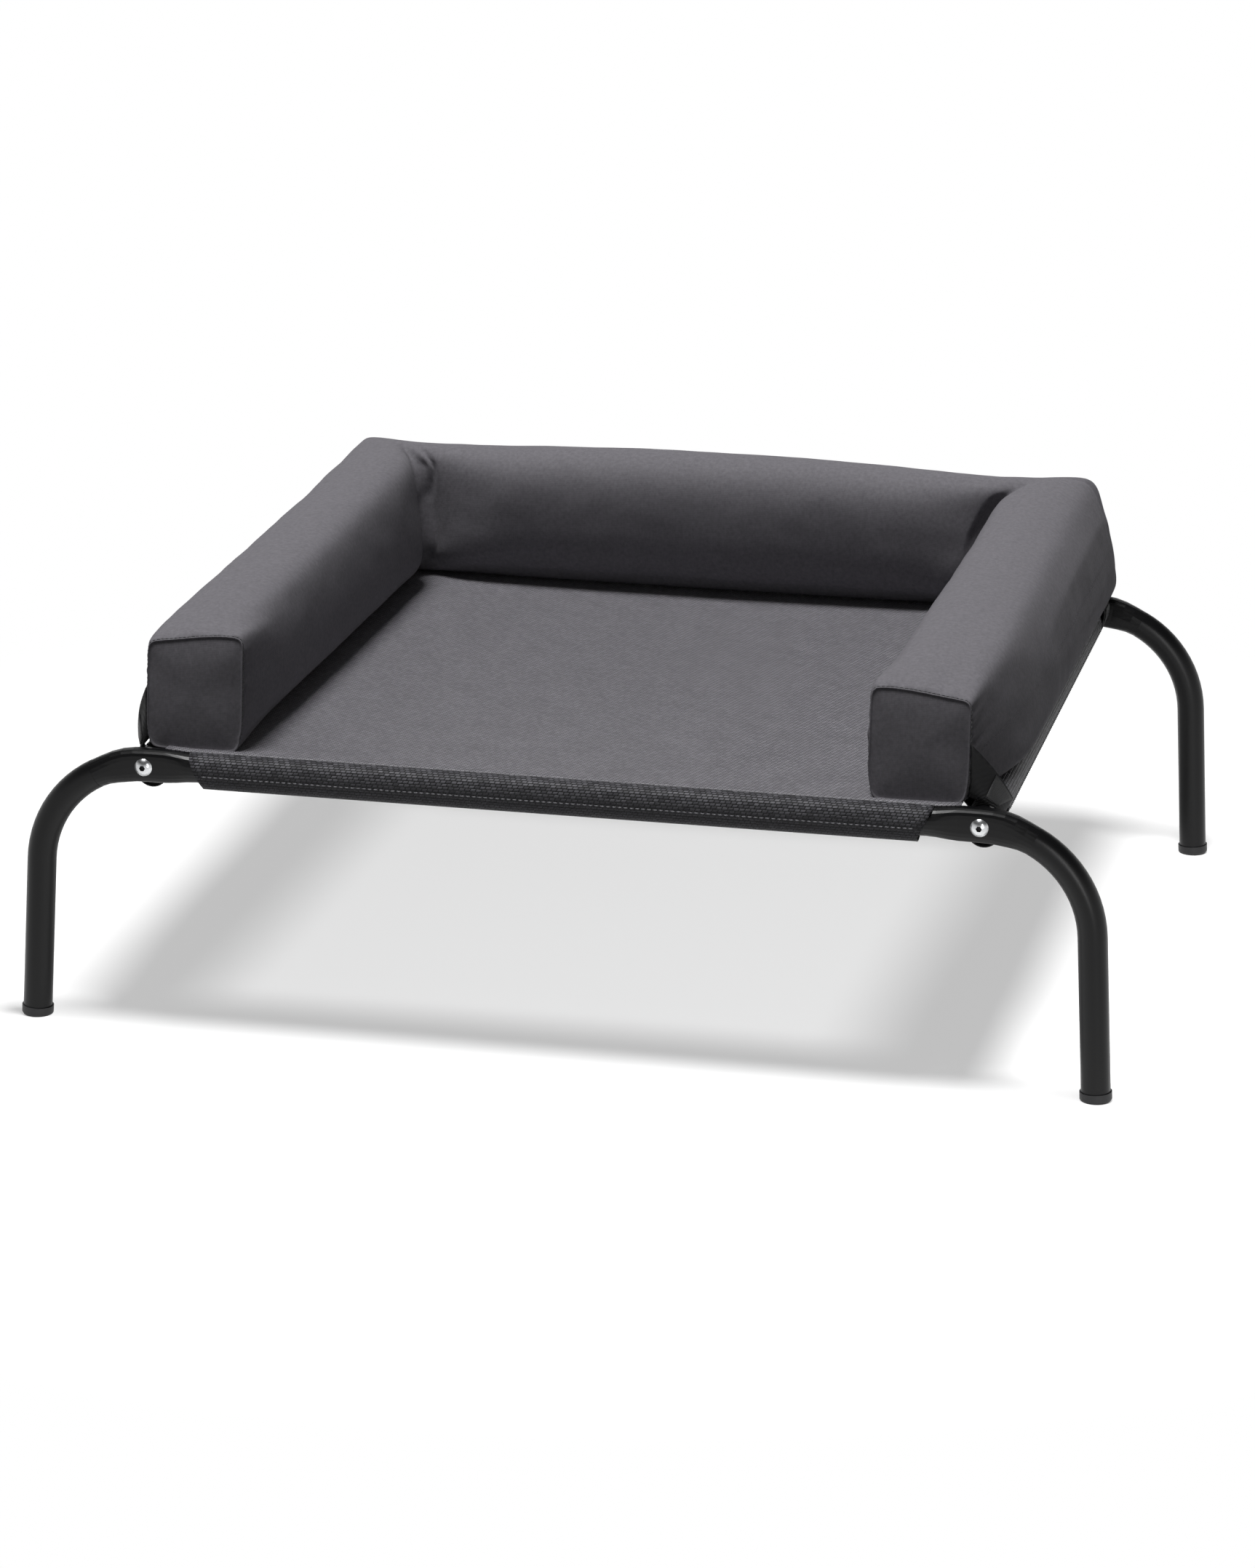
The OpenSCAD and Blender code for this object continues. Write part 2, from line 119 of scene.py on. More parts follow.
@dataclass
class Shading:
    """The empty node tree of a material or of the room, with the textures and mixes that several share."""

    owner: bpy.types.Material | bpy.types.World

    def __post_init__(self) -> None:
        """Clears the tree."""
        self.owner.use_nodes = True
        self.tree: NodeTree = self.owner.node_tree
        self.tree.nodes.clear()

    def place(self, space: str = "Object") -> NodeSocket:
        """Where a point lies in its piece, in metres, or in another space of the coordinate node."""
        return add_node(self.tree, "ShaderNodeTexCoord").outputs[space]

    def cloth(self) -> NodeSocket:
        """Where a point lies on the flat cloth, in metres."""
        return add_node(self.tree, "ShaderNodeAttribute", attribute_name="cloth").outputs["Vector"]

    def grain(self, where: NodeSocket, size: float, detail: float, roughness: float = 0.5) -> NodeSocket:
        """Cloudy noise from 0 to 1.

        Args:
            where: the point that it is read at.
            size: size of a lump in metres.
            detail: how many finer layers lie on it.
            roughness: how strong those layers are.

        Returns:
            The value.
        """
        values = {"Vector": where, "Scale": 1 / size, "Detail": detail, "Roughness": roughness}
        return add_node(self.tree, "ShaderNodeTexNoise", values).outputs["Fac"]

    def bands(self, where: NodeSocket, period: float, direction: str, distortion: float = 0.0) -> NodeSocket:
        """Soft bands from 0 to 1.

        Args:
            where: the point that they are read at.
            period: distance from one band to the next in metres.
            direction: the wave texture's direction.
            distortion: how unevenly they run.

        Returns:
            The value.
        """
        values = {"Vector": where, "Scale": WAVE_PERIOD / period, "Distortion": distortion}
        return add_node(self.tree, "ShaderNodeTexWave", values, bands_direction=direction).outputs["Fac"]

    def tint(self, share: NodeSocket, first: str, second: str) -> NodeSocket:
        """A colour that goes from the first hex colour to the second by a share."""
        colours = {"Factor": share, 6: linear(first), 7: linear(second)}
        return add_node(self.tree, "ShaderNodeMix", colours, data_type="RGBA").outputs[2]

    def ranged(
        self, value: NodeSocket, low: float, high: float, limits: tuple[float, float] = (0.0, 1.0)
    ) -> NodeSocket:
        """A value taken from its range to another one.

        Args:
            value: what is read.
            low: what it becomes at the start of its range.
            high: what it becomes at the end of it.
            limits: start and end of its range.

        Returns:
            The new value.
        """
        values = {"Value": value, "From Min": limits[0], "From Max": limits[1], "To Min": low, "To Max": high}
        return add_node(self.tree, "ShaderNodeMapRange", values).outputs["Result"]

    def maths(self, operation: str, first: NodeSocket | float, second: NodeSocket | float) -> NodeSocket:
        """The result of a sum, product or the like of two values."""
        node = add_node(self.tree, "ShaderNodeMath", {0: first, 1: second}, operation=operation)
        return node.outputs["Value"]

    def relief(self, height: NodeSocket, depth: float, strength: float, sunken: bool = False) -> NodeSocket:
        """The normal of a surface with a fine relief.

        Args:
            height: the relief from 0 to 1.
            depth: how high it stands in metres.
            strength: how much of it shows.
            sunken: whether it goes in instead of out.

        Returns:
            The normal.
        """
        values = {"Height": height, "Distance": depth, "Strength": strength}
        return add_node(self.tree, "ShaderNodeBump", values, invert=sunken).outputs["Normal"]


@dataclass(frozen=True)
class Finish:
    """A surface finish: one Principled shader, whose inputs each kind of material works out."""

    name: str

    def material(self) -> bpy.types.Material:
        """Makes the material once and hands the same one out again."""
        found = bpy.data.materials.get(self.name)
        if found:
            return found
        made = bpy.data.materials.new(self.name)
        nodes = Shading(made)
        shader = add_node(nodes.tree, "ShaderNodeBsdfPrincipled", self.surface(nodes))
        add_node(nodes.tree, "ShaderNodeOutputMaterial", {"Surface": shader.outputs["BSDF"]})
        return made

    def surface(self, nodes: Shading) -> dict[str, Any]:
        """Adds the material's own nodes and gives the shader's inputs; each kind has its own."""
        raise NotImplementedError


@dataclass(frozen=True)
class PowderCoatedSteel(Finish):
    """Tube steel under a baked satin black powder coat.

    The powder melts into a skin with a faint orange peel, so highlights are long and soft, not mirror sharp.
    """

    name: str = "powder_coated_steel"
    colour: str = "#060607"
    thin_colour: str = "#0b0b0d"
    roughness: float = 0.34
    peel: float = 1.8 * MM
    peel_depth: float = 0.05 * MM
    cloud: float = 60 * MM

    def surface(self, nodes: Shading) -> dict[str, Any]:
        """The peel, and slow clouds in colour and gloss from the spray."""
        place = nodes.place()
        peel = nodes.grain(place, self.peel, 2.0)
        cloud = nodes.grain(place, self.cloud, 4.0)
        return {
            "Base Color": nodes.tint(cloud, self.colour, self.thin_colour),
            "Roughness": nodes.ranged(cloud, self.roughness - 0.05, self.roughness + 0.07),
            "Normal": nodes.relief(peel, self.peel_depth, 0.35),
            "IOR": 1.5,
            # Carbon black in the powder takes up much of what the skin would mirror
            "Specular IOR Level": 0.25,
        }


@dataclass(frozen=True)
class ZincPlatedSteel(Finish):
    """Cold-headed steel, barrel plated with bright zinc: pale, a little milky, with fine drag marks."""

    name: str = "zinc_plated_steel"
    colour: str = "#d9dadb"
    dull_colour: str = "#b4b6b8"
    roughness: float = 0.24
    grain: float = 0.7 * MM
    grain_depth: float = 0.02 * MM

    def surface(self, nodes: Shading) -> dict[str, Any]:
        """The plating's mottled colour and gloss."""
        grain = nodes.grain(nodes.place(), self.grain, 3.0)
        return {
            "Base Color": nodes.tint(grain, self.dull_colour, self.colour),
            "Roughness": nodes.ranged(grain, self.roughness + 0.1, self.roughness - 0.06),
            "Normal": nodes.relief(grain, self.grain_depth, 0.4),
            "Metallic": 1.0,
        }


@dataclass(frozen=True)
class MouldedPolyethylene(Finish):
    """Injection-moulded polyethylene: black, matt and slightly waxy, with the mould's fine spark grain."""

    name: str = "moulded_polyethylene"
    colour: str = "#101012"
    rubbed_colour: str = "#1d1d20"
    roughness: float = 0.55
    grain: float = 0.9 * MM
    grain_depth: float = 0.06 * MM
    rubs_in_metre: float = 90.0

    def surface(self, nodes: Shading) -> dict[str, Any]:
        """The spark grain and a little rubbed grey."""
        place = nodes.place()
        rub = nodes.grain(place, 1 / self.rubs_in_metre, 5.0)
        return {
            "Base Color": nodes.tint(rub, self.colour, self.rubbed_colour),
            "Normal": nodes.relief(nodes.grain(place, self.grain, 4.0), self.grain_depth, 0.5),
            "Roughness": self.roughness,
            "IOR": 1.51,
        }


@dataclass(frozen=True)
class WovenMesh(Finish):
    """Mesh woven from PVC-coated polyester yarn.

    Each yarn floats over its neighbour in short raised dashes, and the coating gives every float a small soft
    glint.
    The dark gaps between the floats are painted shade in the holes; on a sleeve, part of that dark is the
    real black tube behind them.
    """

    name: str = "woven_mesh"
    float_colour: str = "#69686d"
    shaded_colour: str = "#3c3b3f"
    gap_shade_colour: str = "#070708"
    float_length: float = 4.2 * MM
    row: float = 2.4 * MM
    float_height: float = 0.45 * MM
    clouds_in_metre: float = 30.0
    roughness: float = 0.52
    specular: float = 0.2

    def surface(self, nodes: Shading) -> dict[str, Any]:
        """Staggered yarn floats with their gaps, heights and uneven colour."""
        cloth = nodes.cloth()
        values = {
            "Vector": cloth,
            "Color1": linear(self.float_colour),
            "Color2": linear(self.shaded_colour),
            # The dark gaps are painted shade in the mesh's holes
            "Mortar": linear(self.gap_shade_colour),
            "Scale": 1 / self.float_length,
            "Mortar Size": 0.14,
            "Mortar Smooth": 0.8,
            "Brick Width": 1.0,
            "Row Height": self.row / self.float_length,
        }
        floats = add_node(nodes.tree, "ShaderNodeTexBrick", values, offset=0.5, offset_frequency=2).outputs
        shade = nodes.ranged(nodes.grain(cloth, 1 / self.clouds_in_metre, 6.0), 0.82, 1.18)
        shaded = {0: floats["Color"], "Scale": shade}
        tint = add_node(nodes.tree, "ShaderNodeVectorMath", shaded, operation="SCALE")
        return {
            "Base Color": tint.outputs["Vector"],
            "Normal": nodes.relief(nodes.maths("SUBTRACT", 1.0, floats["Fac"]), self.float_height, 0.8),
            "Roughness": self.roughness,
            "IOR": 1.5,
            "Specular IOR Level": self.specular,
            "Sheen Weight": 0.16 * self.specular,
        }


@dataclass(frozen=True)
class WovenPolyester(Finish):
    """Plain-woven polyester cover cloth, piece-dyed charcoal and calendered smooth.

    It reads as one soft grey with a fine grain, a faint heather in the yarn and a bloom of sheen where it
    turns away.
    """

    name: str = "woven_polyester"
    colour: str = "#8b898e"
    dark_colour: str = "#57555a"
    # The real yarns lie about 0.5 mm apart, too fine to show, so they are drawn at 1.3 mm
    yarn: float = 1.3 * MM
    yarn_height: float = 0.1 * MM
    heather: float = 3.2 * MM
    roughness: float = 0.78

    def surface(self, nodes: Shading) -> dict[str, Any]:
        """The crossing yarns and the heather."""
        cloth = nodes.cloth()
        warp, weft = (nodes.bands(cloth, self.yarn, way, 0.6) for way in ("X", "Y"))
        heather = nodes.grain(nodes.place(), self.heather, 8.0, 0.7)
        return {
            "Base Color": nodes.tint(heather, self.dark_colour, self.colour),
            "Normal": nodes.relief(nodes.maths("MULTIPLY", warp, weft), self.yarn_height, 0.5),
            "Roughness": self.roughness,
            # Spun yarn scatters nearly all light, so little of it is mirrored even at a low angle
            "Specular IOR Level": 0.12,
            "Sheen Weight": 0.03,
            "Sheen Roughness": 0.45,
        }


@dataclass(frozen=True)
class Webbing(Finish):
    """Narrow polypropylene webbing, woven black: close ribs across the strap and a dull, dry surface."""

    name: str = "polypropylene_webbing"
    colour: str = "#0f0f11"
    groove_shade_colour: str = "#060607"
    rib: float = 2.2 * MM
    rib_height: float = 0.3 * MM
    roughness: float = 0.7

    def surface(self, nodes: Shading) -> dict[str, Any]:
        """The ribs with a twill slant, their grooves darkened as painted shade."""
        ribs = nodes.bands(nodes.cloth(), self.rib, "DIAGONAL", 1.2)
        return {
            "Base Color": nodes.tint(ribs, self.groove_shade_colour, self.colour),
            "Normal": nodes.relief(ribs, self.rib_height, 0.7),
            "Roughness": self.roughness,
            "Specular IOR Level": 0.25,
        }


@dataclass(frozen=True)
class HookTape(Finish):
    """Nylon hook tape: rows of tiny stiff hooks that give a rough black nap."""

    name: str = "nylon_hook_tape"
    colour: str = "#151517"
    gap_shade_colour: str = "#08080a"
    hook: float = 1.6 * MM
    hook_height: float = 0.4 * MM
    roughness: float = 0.6

    def surface(self, nodes: Shading) -> dict[str, Any]:
        """The rows of hooks as small raised cells, darker towards their edges as painted shade between the
        hooks.
        """
        values = {"Vector": nodes.cloth(), "Scale": 1 / self.hook, "Randomness": 0.35}
        hooks = add_node(nodes.tree, "ShaderNodeTexVoronoi", values).outputs["Distance"]
        return {
            "Base Color": nodes.tint(hooks, self.colour, self.gap_shade_colour),
            "Normal": nodes.relief(hooks, self.hook_height, 0.8, sunken=True),
            "Roughness": self.roughness,
        }


@dataclass(frozen=True)
class SewingThread(Finish):
    """Bonded polyester thread, twisted from plies: each stitch has a small bright back."""

    name: str = "bonded_polyester_thread"
    colour: str = "#8a898e"
    ply_colour: str = "#58575b"
    ply: float = 0.8 * MM
    roughness: float = 0.45

    def surface(self, nodes: Shading) -> dict[str, Any]:
        """The twist of the plies."""
        twist = nodes.bands(nodes.place(), self.ply, "DIAGONAL")
        return {
            "Base Color": nodes.tint(twist, self.ply_colour, self.colour),
            "Roughness": self.roughness,
            "Sheen Weight": 0.2,
        }


POWDER_COAT = PowderCoatedSteel()
ZINC = ZincPlatedSteel()
# Painted shade: a dark, dull copy of the zinc for the bolts' hex sockets, standing in for the shade deep in
# the recess
SOCKET_SHADE_ZINC = ZincPlatedSteel(
    name="zinc_plated_socket_shade", colour="#3a3a3b", dull_colour="#161617", roughness=0.5
)
CAP_PLASTIC = MouldedPolyethylene()
PLUG_PLASTIC = MouldedPolyethylene(
    name="moulded_plug_polyethylene", colour="#242427", rubbed_colour="#2f2f33"
)
SLEEVE_CLOTH = WovenMesh()
# Pulled taut, the same mesh shows finer, flatter floats on the bed
BED_CLOTH = WovenMesh(
    name="woven_mesh_taut",
    float_colour="#8d8b91",
    shaded_colour="#747278",
    gap_shade_colour="#363539",
    float_length=3.4 * MM,
    row=2.3 * MM,
    specular=0.5,
)
COVER_CLOTH = WovenPolyester()
STRAP_WEBBING = Webbing()
HOOK_TAPE = HookTape()
THREAD = SewingThread()
# The end seams' stitches are real, but they are drawn near black to paint the shadow line in the seam's
# groove
SEAM_SHADE_THREAD = SewingThread(name="seam_shade_polyester_thread", colour="#1b1b1d", ply_colour="#0f0f11")


def smoothstep(value: np.ndarray | float) -> np.ndarray:
    """Eases 0 to 1 with level ends."""
    t = np.clip(value, 0.0, 1.0)
    return t * t * (3 - 2 * t)


def middle_of(node: str) -> tuple[float, float, float]:
    """Middle of a CAD node's box as X, Y and Z."""
    low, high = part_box(node)
    return (low.x + high.x) / 2, (low.y + high.y) / 2, (low.z + high.z) / 2


def circle(turn: np.ndarray) -> np.ndarray:
    """Points on a circle of radius 1 at some angles."""
    return np.stack([np.cos(turn), np.sin(turn)], axis=-1)


def blend(start: Any, goal: Any, share: Any) -> Any:
    """Goes from start to goal by a share from 0 to 1."""
    return start + (goal - start) * share


def ripple(points: np.ndarray, size: float, seed: float) -> np.ndarray:
    """Smooth seeded noise from -1 to 1 at each point, with lumps of about a size in metres."""
    return np.array([noise.noise(Vector(p) / size + Vector((seed, 2 * seed, 3 * seed))) for p in points])


def distances(path: np.ndarray) -> np.ndarray:
    """Distance of each point of a path from its start, along the path."""
    return np.concatenate([[0.0], np.cumsum(np.linalg.norm(np.diff(path, axis=0), axis=1))])


def on_path(path: np.ndarray, along: np.ndarray, at: np.ndarray | float) -> np.ndarray:
    """Points of a path at some distances along it.

    Args:
        path: points of the path.
        along: their distances along it.
        at: the distances that are asked for.

    Returns:
        A point for each of them.
    """
    return np.stack([np.interp(at, along, values) for values in path.T], axis=-1)


def evenly(loop: np.ndarray, count: int) -> np.ndarray:
    """Points in even steps round a loop that ends on its first point."""
    along = distances(loop)
    return on_path(loop, along, np.linspace(0, along[-1], count, endpoint=False))


def outline(half_wide: float, half_tall: float, squares: np.ndarray, count: int) -> np.ndarray:
    """A superellipse with evenly spaced points, from its outer side upwards.

    Args:
        half_wide: half its width.
        half_tall: half its height.
        squares: for the outer top, inner top, inner low and outer low quarter, 2 for round and more for
            a squarer corner.
        count: how many points.

    Returns:
        Points as (outwards, up) from its centre.
    """
    turn = np.linspace(0, 2 * math.pi, 2 * DENSE + 1)
    power = 2 / squares[np.minimum((turn / (math.pi / 2)).astype(int), 3)]
    place = circle(turn)
    return evenly((half_wide, half_tall) * np.sign(place) * np.abs(place) ** power[:, None], count)


def rounded(corners: np.ndarray, soft: float, count: int) -> np.ndarray:
    """A closed outline through corner points, rounded all round, with evenly spaced points.

    Args:
        corners: corner points in order.
        soft: how far the rounding reaches.
        count: how many points.

    Returns:
        The outline's points, from the first corner on.
    """
    loop = np.concatenate([corners, corners[:1]])
    waves = np.fft.fftfreq(DENSE, distances(loop)[-1] / DENSE)
    damp = np.exp(-2 * (math.pi * soft * waves) ** 2)
    line = np.fft.ifft(np.fft.fft(evenly(loop, DENSE), axis=0) * damp[:, None], axis=0).real
    return evenly(np.concatenate([line, line[:1]]), count)


def strip_faces(rows: int, cols: int, closed: bool, start: int = 0) -> list[tuple[int, ...]]:
    """Quads between rows of points.

    Args:
        rows: how many rows.
        cols: points in a row.
        closed: whether the last point of a row joins its first.
        start: number of the first point.

    Returns:
        The quads as point numbers.
    """
    last = cols if closed else cols - 1
    return [
        (
            start + i * cols + k,
            start + i * cols + (k + 1) % cols,
            start + (i + 1) * cols + (k + 1) % cols,
            start + (i + 1) * cols + k,
        )
        for i in range(rows - 1)
        for k in range(last)
    ]


def make_piece(
    name: str, points: np.ndarray, faces: Sequence[tuple[int, ...]], cloth: np.ndarray | None = None
) -> bpy.types.Object:
    """Makes a smooth mesh object in the scene.

    Args:
        name: the piece's name.
        points: corner points in metres.
        faces: point numbers of each face.
        cloth: for each point, its place on the flat cloth in metres, which the weaves follow.

    Returns:
        The new object.
    """
    mesh = bpy.data.meshes.new(name)
    mesh.from_pydata([tuple(p) for p in points], [], faces)
    mesh.validate()
    mesh.polygons.foreach_set("use_smooth", [True] * len(mesh.polygons))
    if cloth is not None:
        layer = mesh.attributes.new("cloth", "FLOAT_VECTOR", "POINT")
        layer.data.foreach_set("vector", np.asarray(cloth, np.float32).ravel())
    turned = bmesh.new()
    turned.from_mesh(mesh)
    bmesh.ops.recalc_face_normals(turned, faces=turned.faces)
    turned.to_mesh(mesh)
    turned.free()
    piece = bpy.data.objects.new(name, mesh)
    bpy.context.scene.collection.objects.link(piece)
    return piece


def get_points(mesh: bpy.types.Mesh, what: str = "co") -> np.ndarray:
    """The places of a mesh's points, or another vector that each of them has."""
    values = np.empty(3 * len(mesh.vertices))
    mesh.vertices.foreach_get(what, values)
    return values.reshape(-1, 3)


def put_points(mesh: bpy.types.Mesh, points: np.ndarray) -> None:
    """Moves a mesh's points to new places."""
    mesh.vertices.foreach_set("co", points.ravel())
    mesh.update()


def dress(piece: bpy.types.Object, finish: Finish, slot: str, *nodes: str) -> bpy.types.Object:
    """Gives a piece its finish, its place on the cot and the CAD nodes that it stands for.

    Args:
        piece: the new piece.
        finish: what its surface is.
        slot: the record's material slot; not used.
        nodes: CAD nodes that aren't shown any more.

    Returns:
        The same piece.
    """
    piece.data.materials.clear()
    piece.data.materials.append(finish.material())
    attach(piece, BODY)
    if nodes:
        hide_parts(*nodes)
    log.info("%s: %d faces, %s", piece.name, len(piece.data.polygons), finish.name)
    return piece


def thicken(piece: bpy.types.Object, thickness: float, offset: float) -> None:
    """Gives a sheet its thickness, to the side that offset says."""
    solid = piece.modifiers.new("thickness", "SOLIDIFY")
    solid.thickness, solid.offset = thickness, offset
    solid.use_even_offset = True


@dataclass(frozen=True)
class Stitching:
    """A row of stitches, each a short thread that dives into the cloth at both ends."""

    pitch: float
    length: float
    thick: float
    sides: int = 6
    rings: int = 5
    # The thread is drawn in to this share of its thickness where it dives into the cloth
    drawn: float = 0.55
    # How far its middle dives at the ends and rises between them, in thicknesses
    dive: float = 0.3
    arch: float = 0.62
    # How far ahead the seam is looked at for its direction
    ahead: float = 0.1 * MM

    def sew(self, name: str, path: np.ndarray, out: np.ndarray) -> bpy.types.Object:
        """Lays the stitches along a seam.

        Args:
            name: the piece's name.
            path: points along the seam, on the cloth's surface.
            out: at each point, the direction out of the cloth.

        Returns:
            The row of stitches as one object.
        """
        along = distances(path)
        count = int((along[-1] - self.length) // self.pitch)
        start = (along[-1] - count * self.pitch) / 2
        turn = np.arange(self.sides) * 2 * math.pi / self.sides
        points: list[np.ndarray] = []
        faces: list[tuple[int, ...]] = []
        for n in range(count):
            base = len(points) * self.sides
            for share in np.linspace(0, 1, self.rings):
                at = n * self.pitch + share * self.length + start
                centre = on_path(path, along, at)
                heading = on_path(path, along, at + self.ahead) - centre
                heading /= max(np.linalg.norm(heading), TINY)
                up = on_path(out, along, at)
                up /= np.linalg.norm(up)
                rise = math.sin(math.pi * share)
                radius = self.thick / 2 * blend(self.drawn, 1.0, rise)
                middle = centre + up * (rise * self.arch - self.dive) * self.thick
                points.append(middle + radius * circle(turn) @ np.array([np.cross(heading, up), up]))
            faces += strip_faces(self.rings, self.sides, True, base)
            last = base + (self.rings - 1) * self.sides
            faces.append(tuple(base + k for k in reversed(range(self.sides))))
            faces.append(tuple(last + k for k in range(self.sides)))
        return make_piece(name, np.concatenate(points), faces)


@dataclass
class SteelFrame:
    """The bolted tube frame: two leg frames, two side rails and what joins them, all from the CAD."""

    tubes: tuple[str, ...] = ("front_leg_frame", "rear_leg_frame", "left_side_rail", "right_side_rail")
    fasteners: tuple[str, ...] = ("frame_bolts", "rail_nuts")
    plugs: tuple[str, ...] = ("rail_end_plugs",)
    caps: tuple[str, ...] = (
        "foot_cap_front_left",
        "foot_cap_front_right",
        "foot_cap_rear_left",
        "foot_cap_rear_right",
    )
    socket_radius: float = 2.45 * MM

    def dress(self) -> None:
        """Gives every CAD node of the frame its finish."""
        for names, finish in (
            (self.tubes, POWDER_COAT),
            (self.fasteners, ZINC),
            (self.plugs, PLUG_PLASTIC),
            (self.caps, CAP_PLASTIC),
        ):
            for name in names:
                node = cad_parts[name]
                node.data.materials.clear()
                node.data.materials.append(finish.material())
                log.info("%s: CAD node, %s", name, finish.name)
        self.paint_socket_shade(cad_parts["frame_bolts"])

    def paint_socket_shade(self, bolts: bpy.types.Object) -> None:
        """Paints shade into the bolts' hex sockets: their faces take a dark, dull copy of the zinc that
        stands in for the shade of the deep recess.
        """
        axis_x, _, axis_z = middle_of("right_side_rail")
        rail_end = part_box("right_side_rail")[1].y
        bolts.data.materials.append(SOCKET_SHADE_ZINC.material())
        for face in bolts.data.polygons:
            spot = bolts.matrix_world @ face.center
            near = math.hypot(abs(spot.x) - axis_x, spot.z - axis_z) < self.socket_radius
            if near and abs(spot.y) > rail_end:
                face.material_index = 1


@dataclass
class MeshBed:
    """The stretched mesh panel and the four sleeves that hold it to the tubes."""

    rail_x: float
    frame_y: float
    rail_z: float
    top_z: float
    long_half: float
    side_half: float
    cloth: float = 1.0 * MM
    # The panel sags in a well of this half width and half depth, a little unevenly
    sag: float = 2.2 * MM
    well: tuple[float, float] = (240 * MM, 300 * MM)
    uneven: float = 0.5 * MM
    uneven_size: float = 110 * MM
    # The corners are cut back from the rails, with a flare at the side sleeve's end and at the tube
    notch: float = 16.5 * MM
    sleeve_flare: float = 3 * MM
    tube_flare: float = 1.5 * MM
    flare_reach: float = 8 * MM
    # Past the sleeves, the panel climbs onto the pressed bolt seats
    seat_rise: float = 1.4 * MM
    seat_width: float = 20 * MM
    seat_start: float = 14 * MM
    seat_depth: float = 8 * MM
    # Points along the panel, at each of its ends and across it
    panel_steps: tuple[int, int, int] = (61, 7, 67)
    hem: float = 24 * MM
    # The hem hangs clear of the sagging bed
    hem_gap: float = 1.3 * MM
    # A sleeve hangs off the lower side of its tube, and leaves it for the hem
    droop: float = 3.2 * MM
    droop_reach: float = math.radians(80)
    leave: float = math.radians(-145)
    # The lapped edge of the cloth stands out from the tube's front to its upper side
    lip: float = 0.7 * MM
    lip_angle: float = math.radians(-22)
    lip_rise: float = math.radians(3)
    lip_end: float = math.radians(35)
    lip_fade: float = math.radians(45)
    ring_steps: int = 84
    flat_steps: int = 8
    step: float = 6 * MM
    # Its ends slant inwards by this share of the way down
    slant: float = 0.45
    seam_angle: float = math.radians(-12)
    seam_inset: float = 2 * MM
    stitching: Stitching = Stitching(pitch=4.4 * MM, length=3.4 * MM, thick=1.1 * MM)
    sleeves: list[bpy.types.Object] = field(default_factory=list)

    @classmethod
    def from_frame(cls) -> "MeshBed":
        """Takes the sizes from the CAD nodes."""
        rail_x, _, rail_z = middle_of("right_side_rail")
        return cls(
            rail_x=rail_x,
            frame_y=-middle_of("front_leg_frame")[1],
            rail_z=rail_z,
            top_z=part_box("bed_mesh")[1].z,
            long_half=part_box("front_sleeve")[1].x,
            side_half=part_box("right_sleeve")[1].y,
        )

    @property
    def radius(self) -> float:
        """Outer radius of a sleeve round its tube."""
        return self.top_z - self.rail_z

    def panel_shape(self) -> tuple[np.ndarray, list[tuple[int, ...]]]:
        """The flat panel: rows between the notches, and a strip to each side rail between its sleeve's ends.

        Returns:
            Its points and faces.
        """
        middle, ends, cols = self.panel_steps
        tongue = np.linspace(self.side_half, self.frame_y, ends)
        along = [np.linspace(-self.side_half, self.side_half, middle), tongue, -tongue]
        ys = np.unique(np.concatenate(along).round(6))
        notch = self.rail_x - self.notch
        reach = np.interp(
            np.abs(ys),
            [self.side_half, self.side_half + self.flare_reach, self.frame_y],
            [notch + self.sleeve_flare, notch, notch + self.tube_flare],
        )
        across = np.outer(reach, np.linspace(-1, 1, cols)).ravel()
        points = [np.stack([across, np.repeat(ys, cols), 0 * across], axis=1)]
        faces = strip_faces(len(ys), cols, False)
        inner = np.flatnonzero(np.abs(ys) <= self.side_half + 0.01 * MM).tolist()
        start = len(across)
        for side, col in ((Side.LEFT, 0), (Side.RIGHT, cols - 1)):
            points.append(np.array([(side.value * self.rail_x, ys[i], 0.0) for i in inner]))
            for n, (i, j) in enumerate(zip(inner, inner[1:])):
                quad = (i * cols + col, start + n, start + n + 1, j * cols + col)
                faces.append(quad if side is Side.RIGHT else quad[::-1])
            start += len(inner)
        return np.concatenate(points), faces

    def build_panel(self) -> bpy.types.Object:
        """Builds the taut panel with a slight sag in the well; its corners lie on the pressed bolt seats.

        Returns:
            The panel.
        """
        place, faces = self.panel_shape()
        x, y = place[:, 0], place[:, 1]
        dip = np.clip(1 - (x / self.well[0]) ** 2, 0, 1) * np.clip(1 - (y / self.well[1]) ** 2, 0, 1)
        deep = self.sag + self.uneven * ripple(place, self.uneven_size, 1.0)
        seat = smoothstep((np.abs(x) - self.long_half) / self.seat_width)
        seat *= smoothstep((np.abs(y) - self.frame_y + self.seat_start) / self.seat_depth)
        cloth = np.stack([x + MESH_SLANT * y, y, 0 * x], axis=1)
        place[:, 2] = self.top_z - dip * deep + self.seat_rise * seat
        piece = make_piece("bed_panel", place, faces, cloth)
        for face in piece.data.polygons:
            if face.normal.z < 0:
                face.flip()
        thicken(piece, self.cloth, -1.0)
        return dress(piece, BED_CLOTH, "mesh", "bed_mesh")

    def drooped(self, angle: np.ndarray | float) -> np.ndarray:
        """Radius of a sleeve at an angle round its tube, without the lip."""
        return self.radius + self.droop * smoothstep(-angle / self.droop_reach)

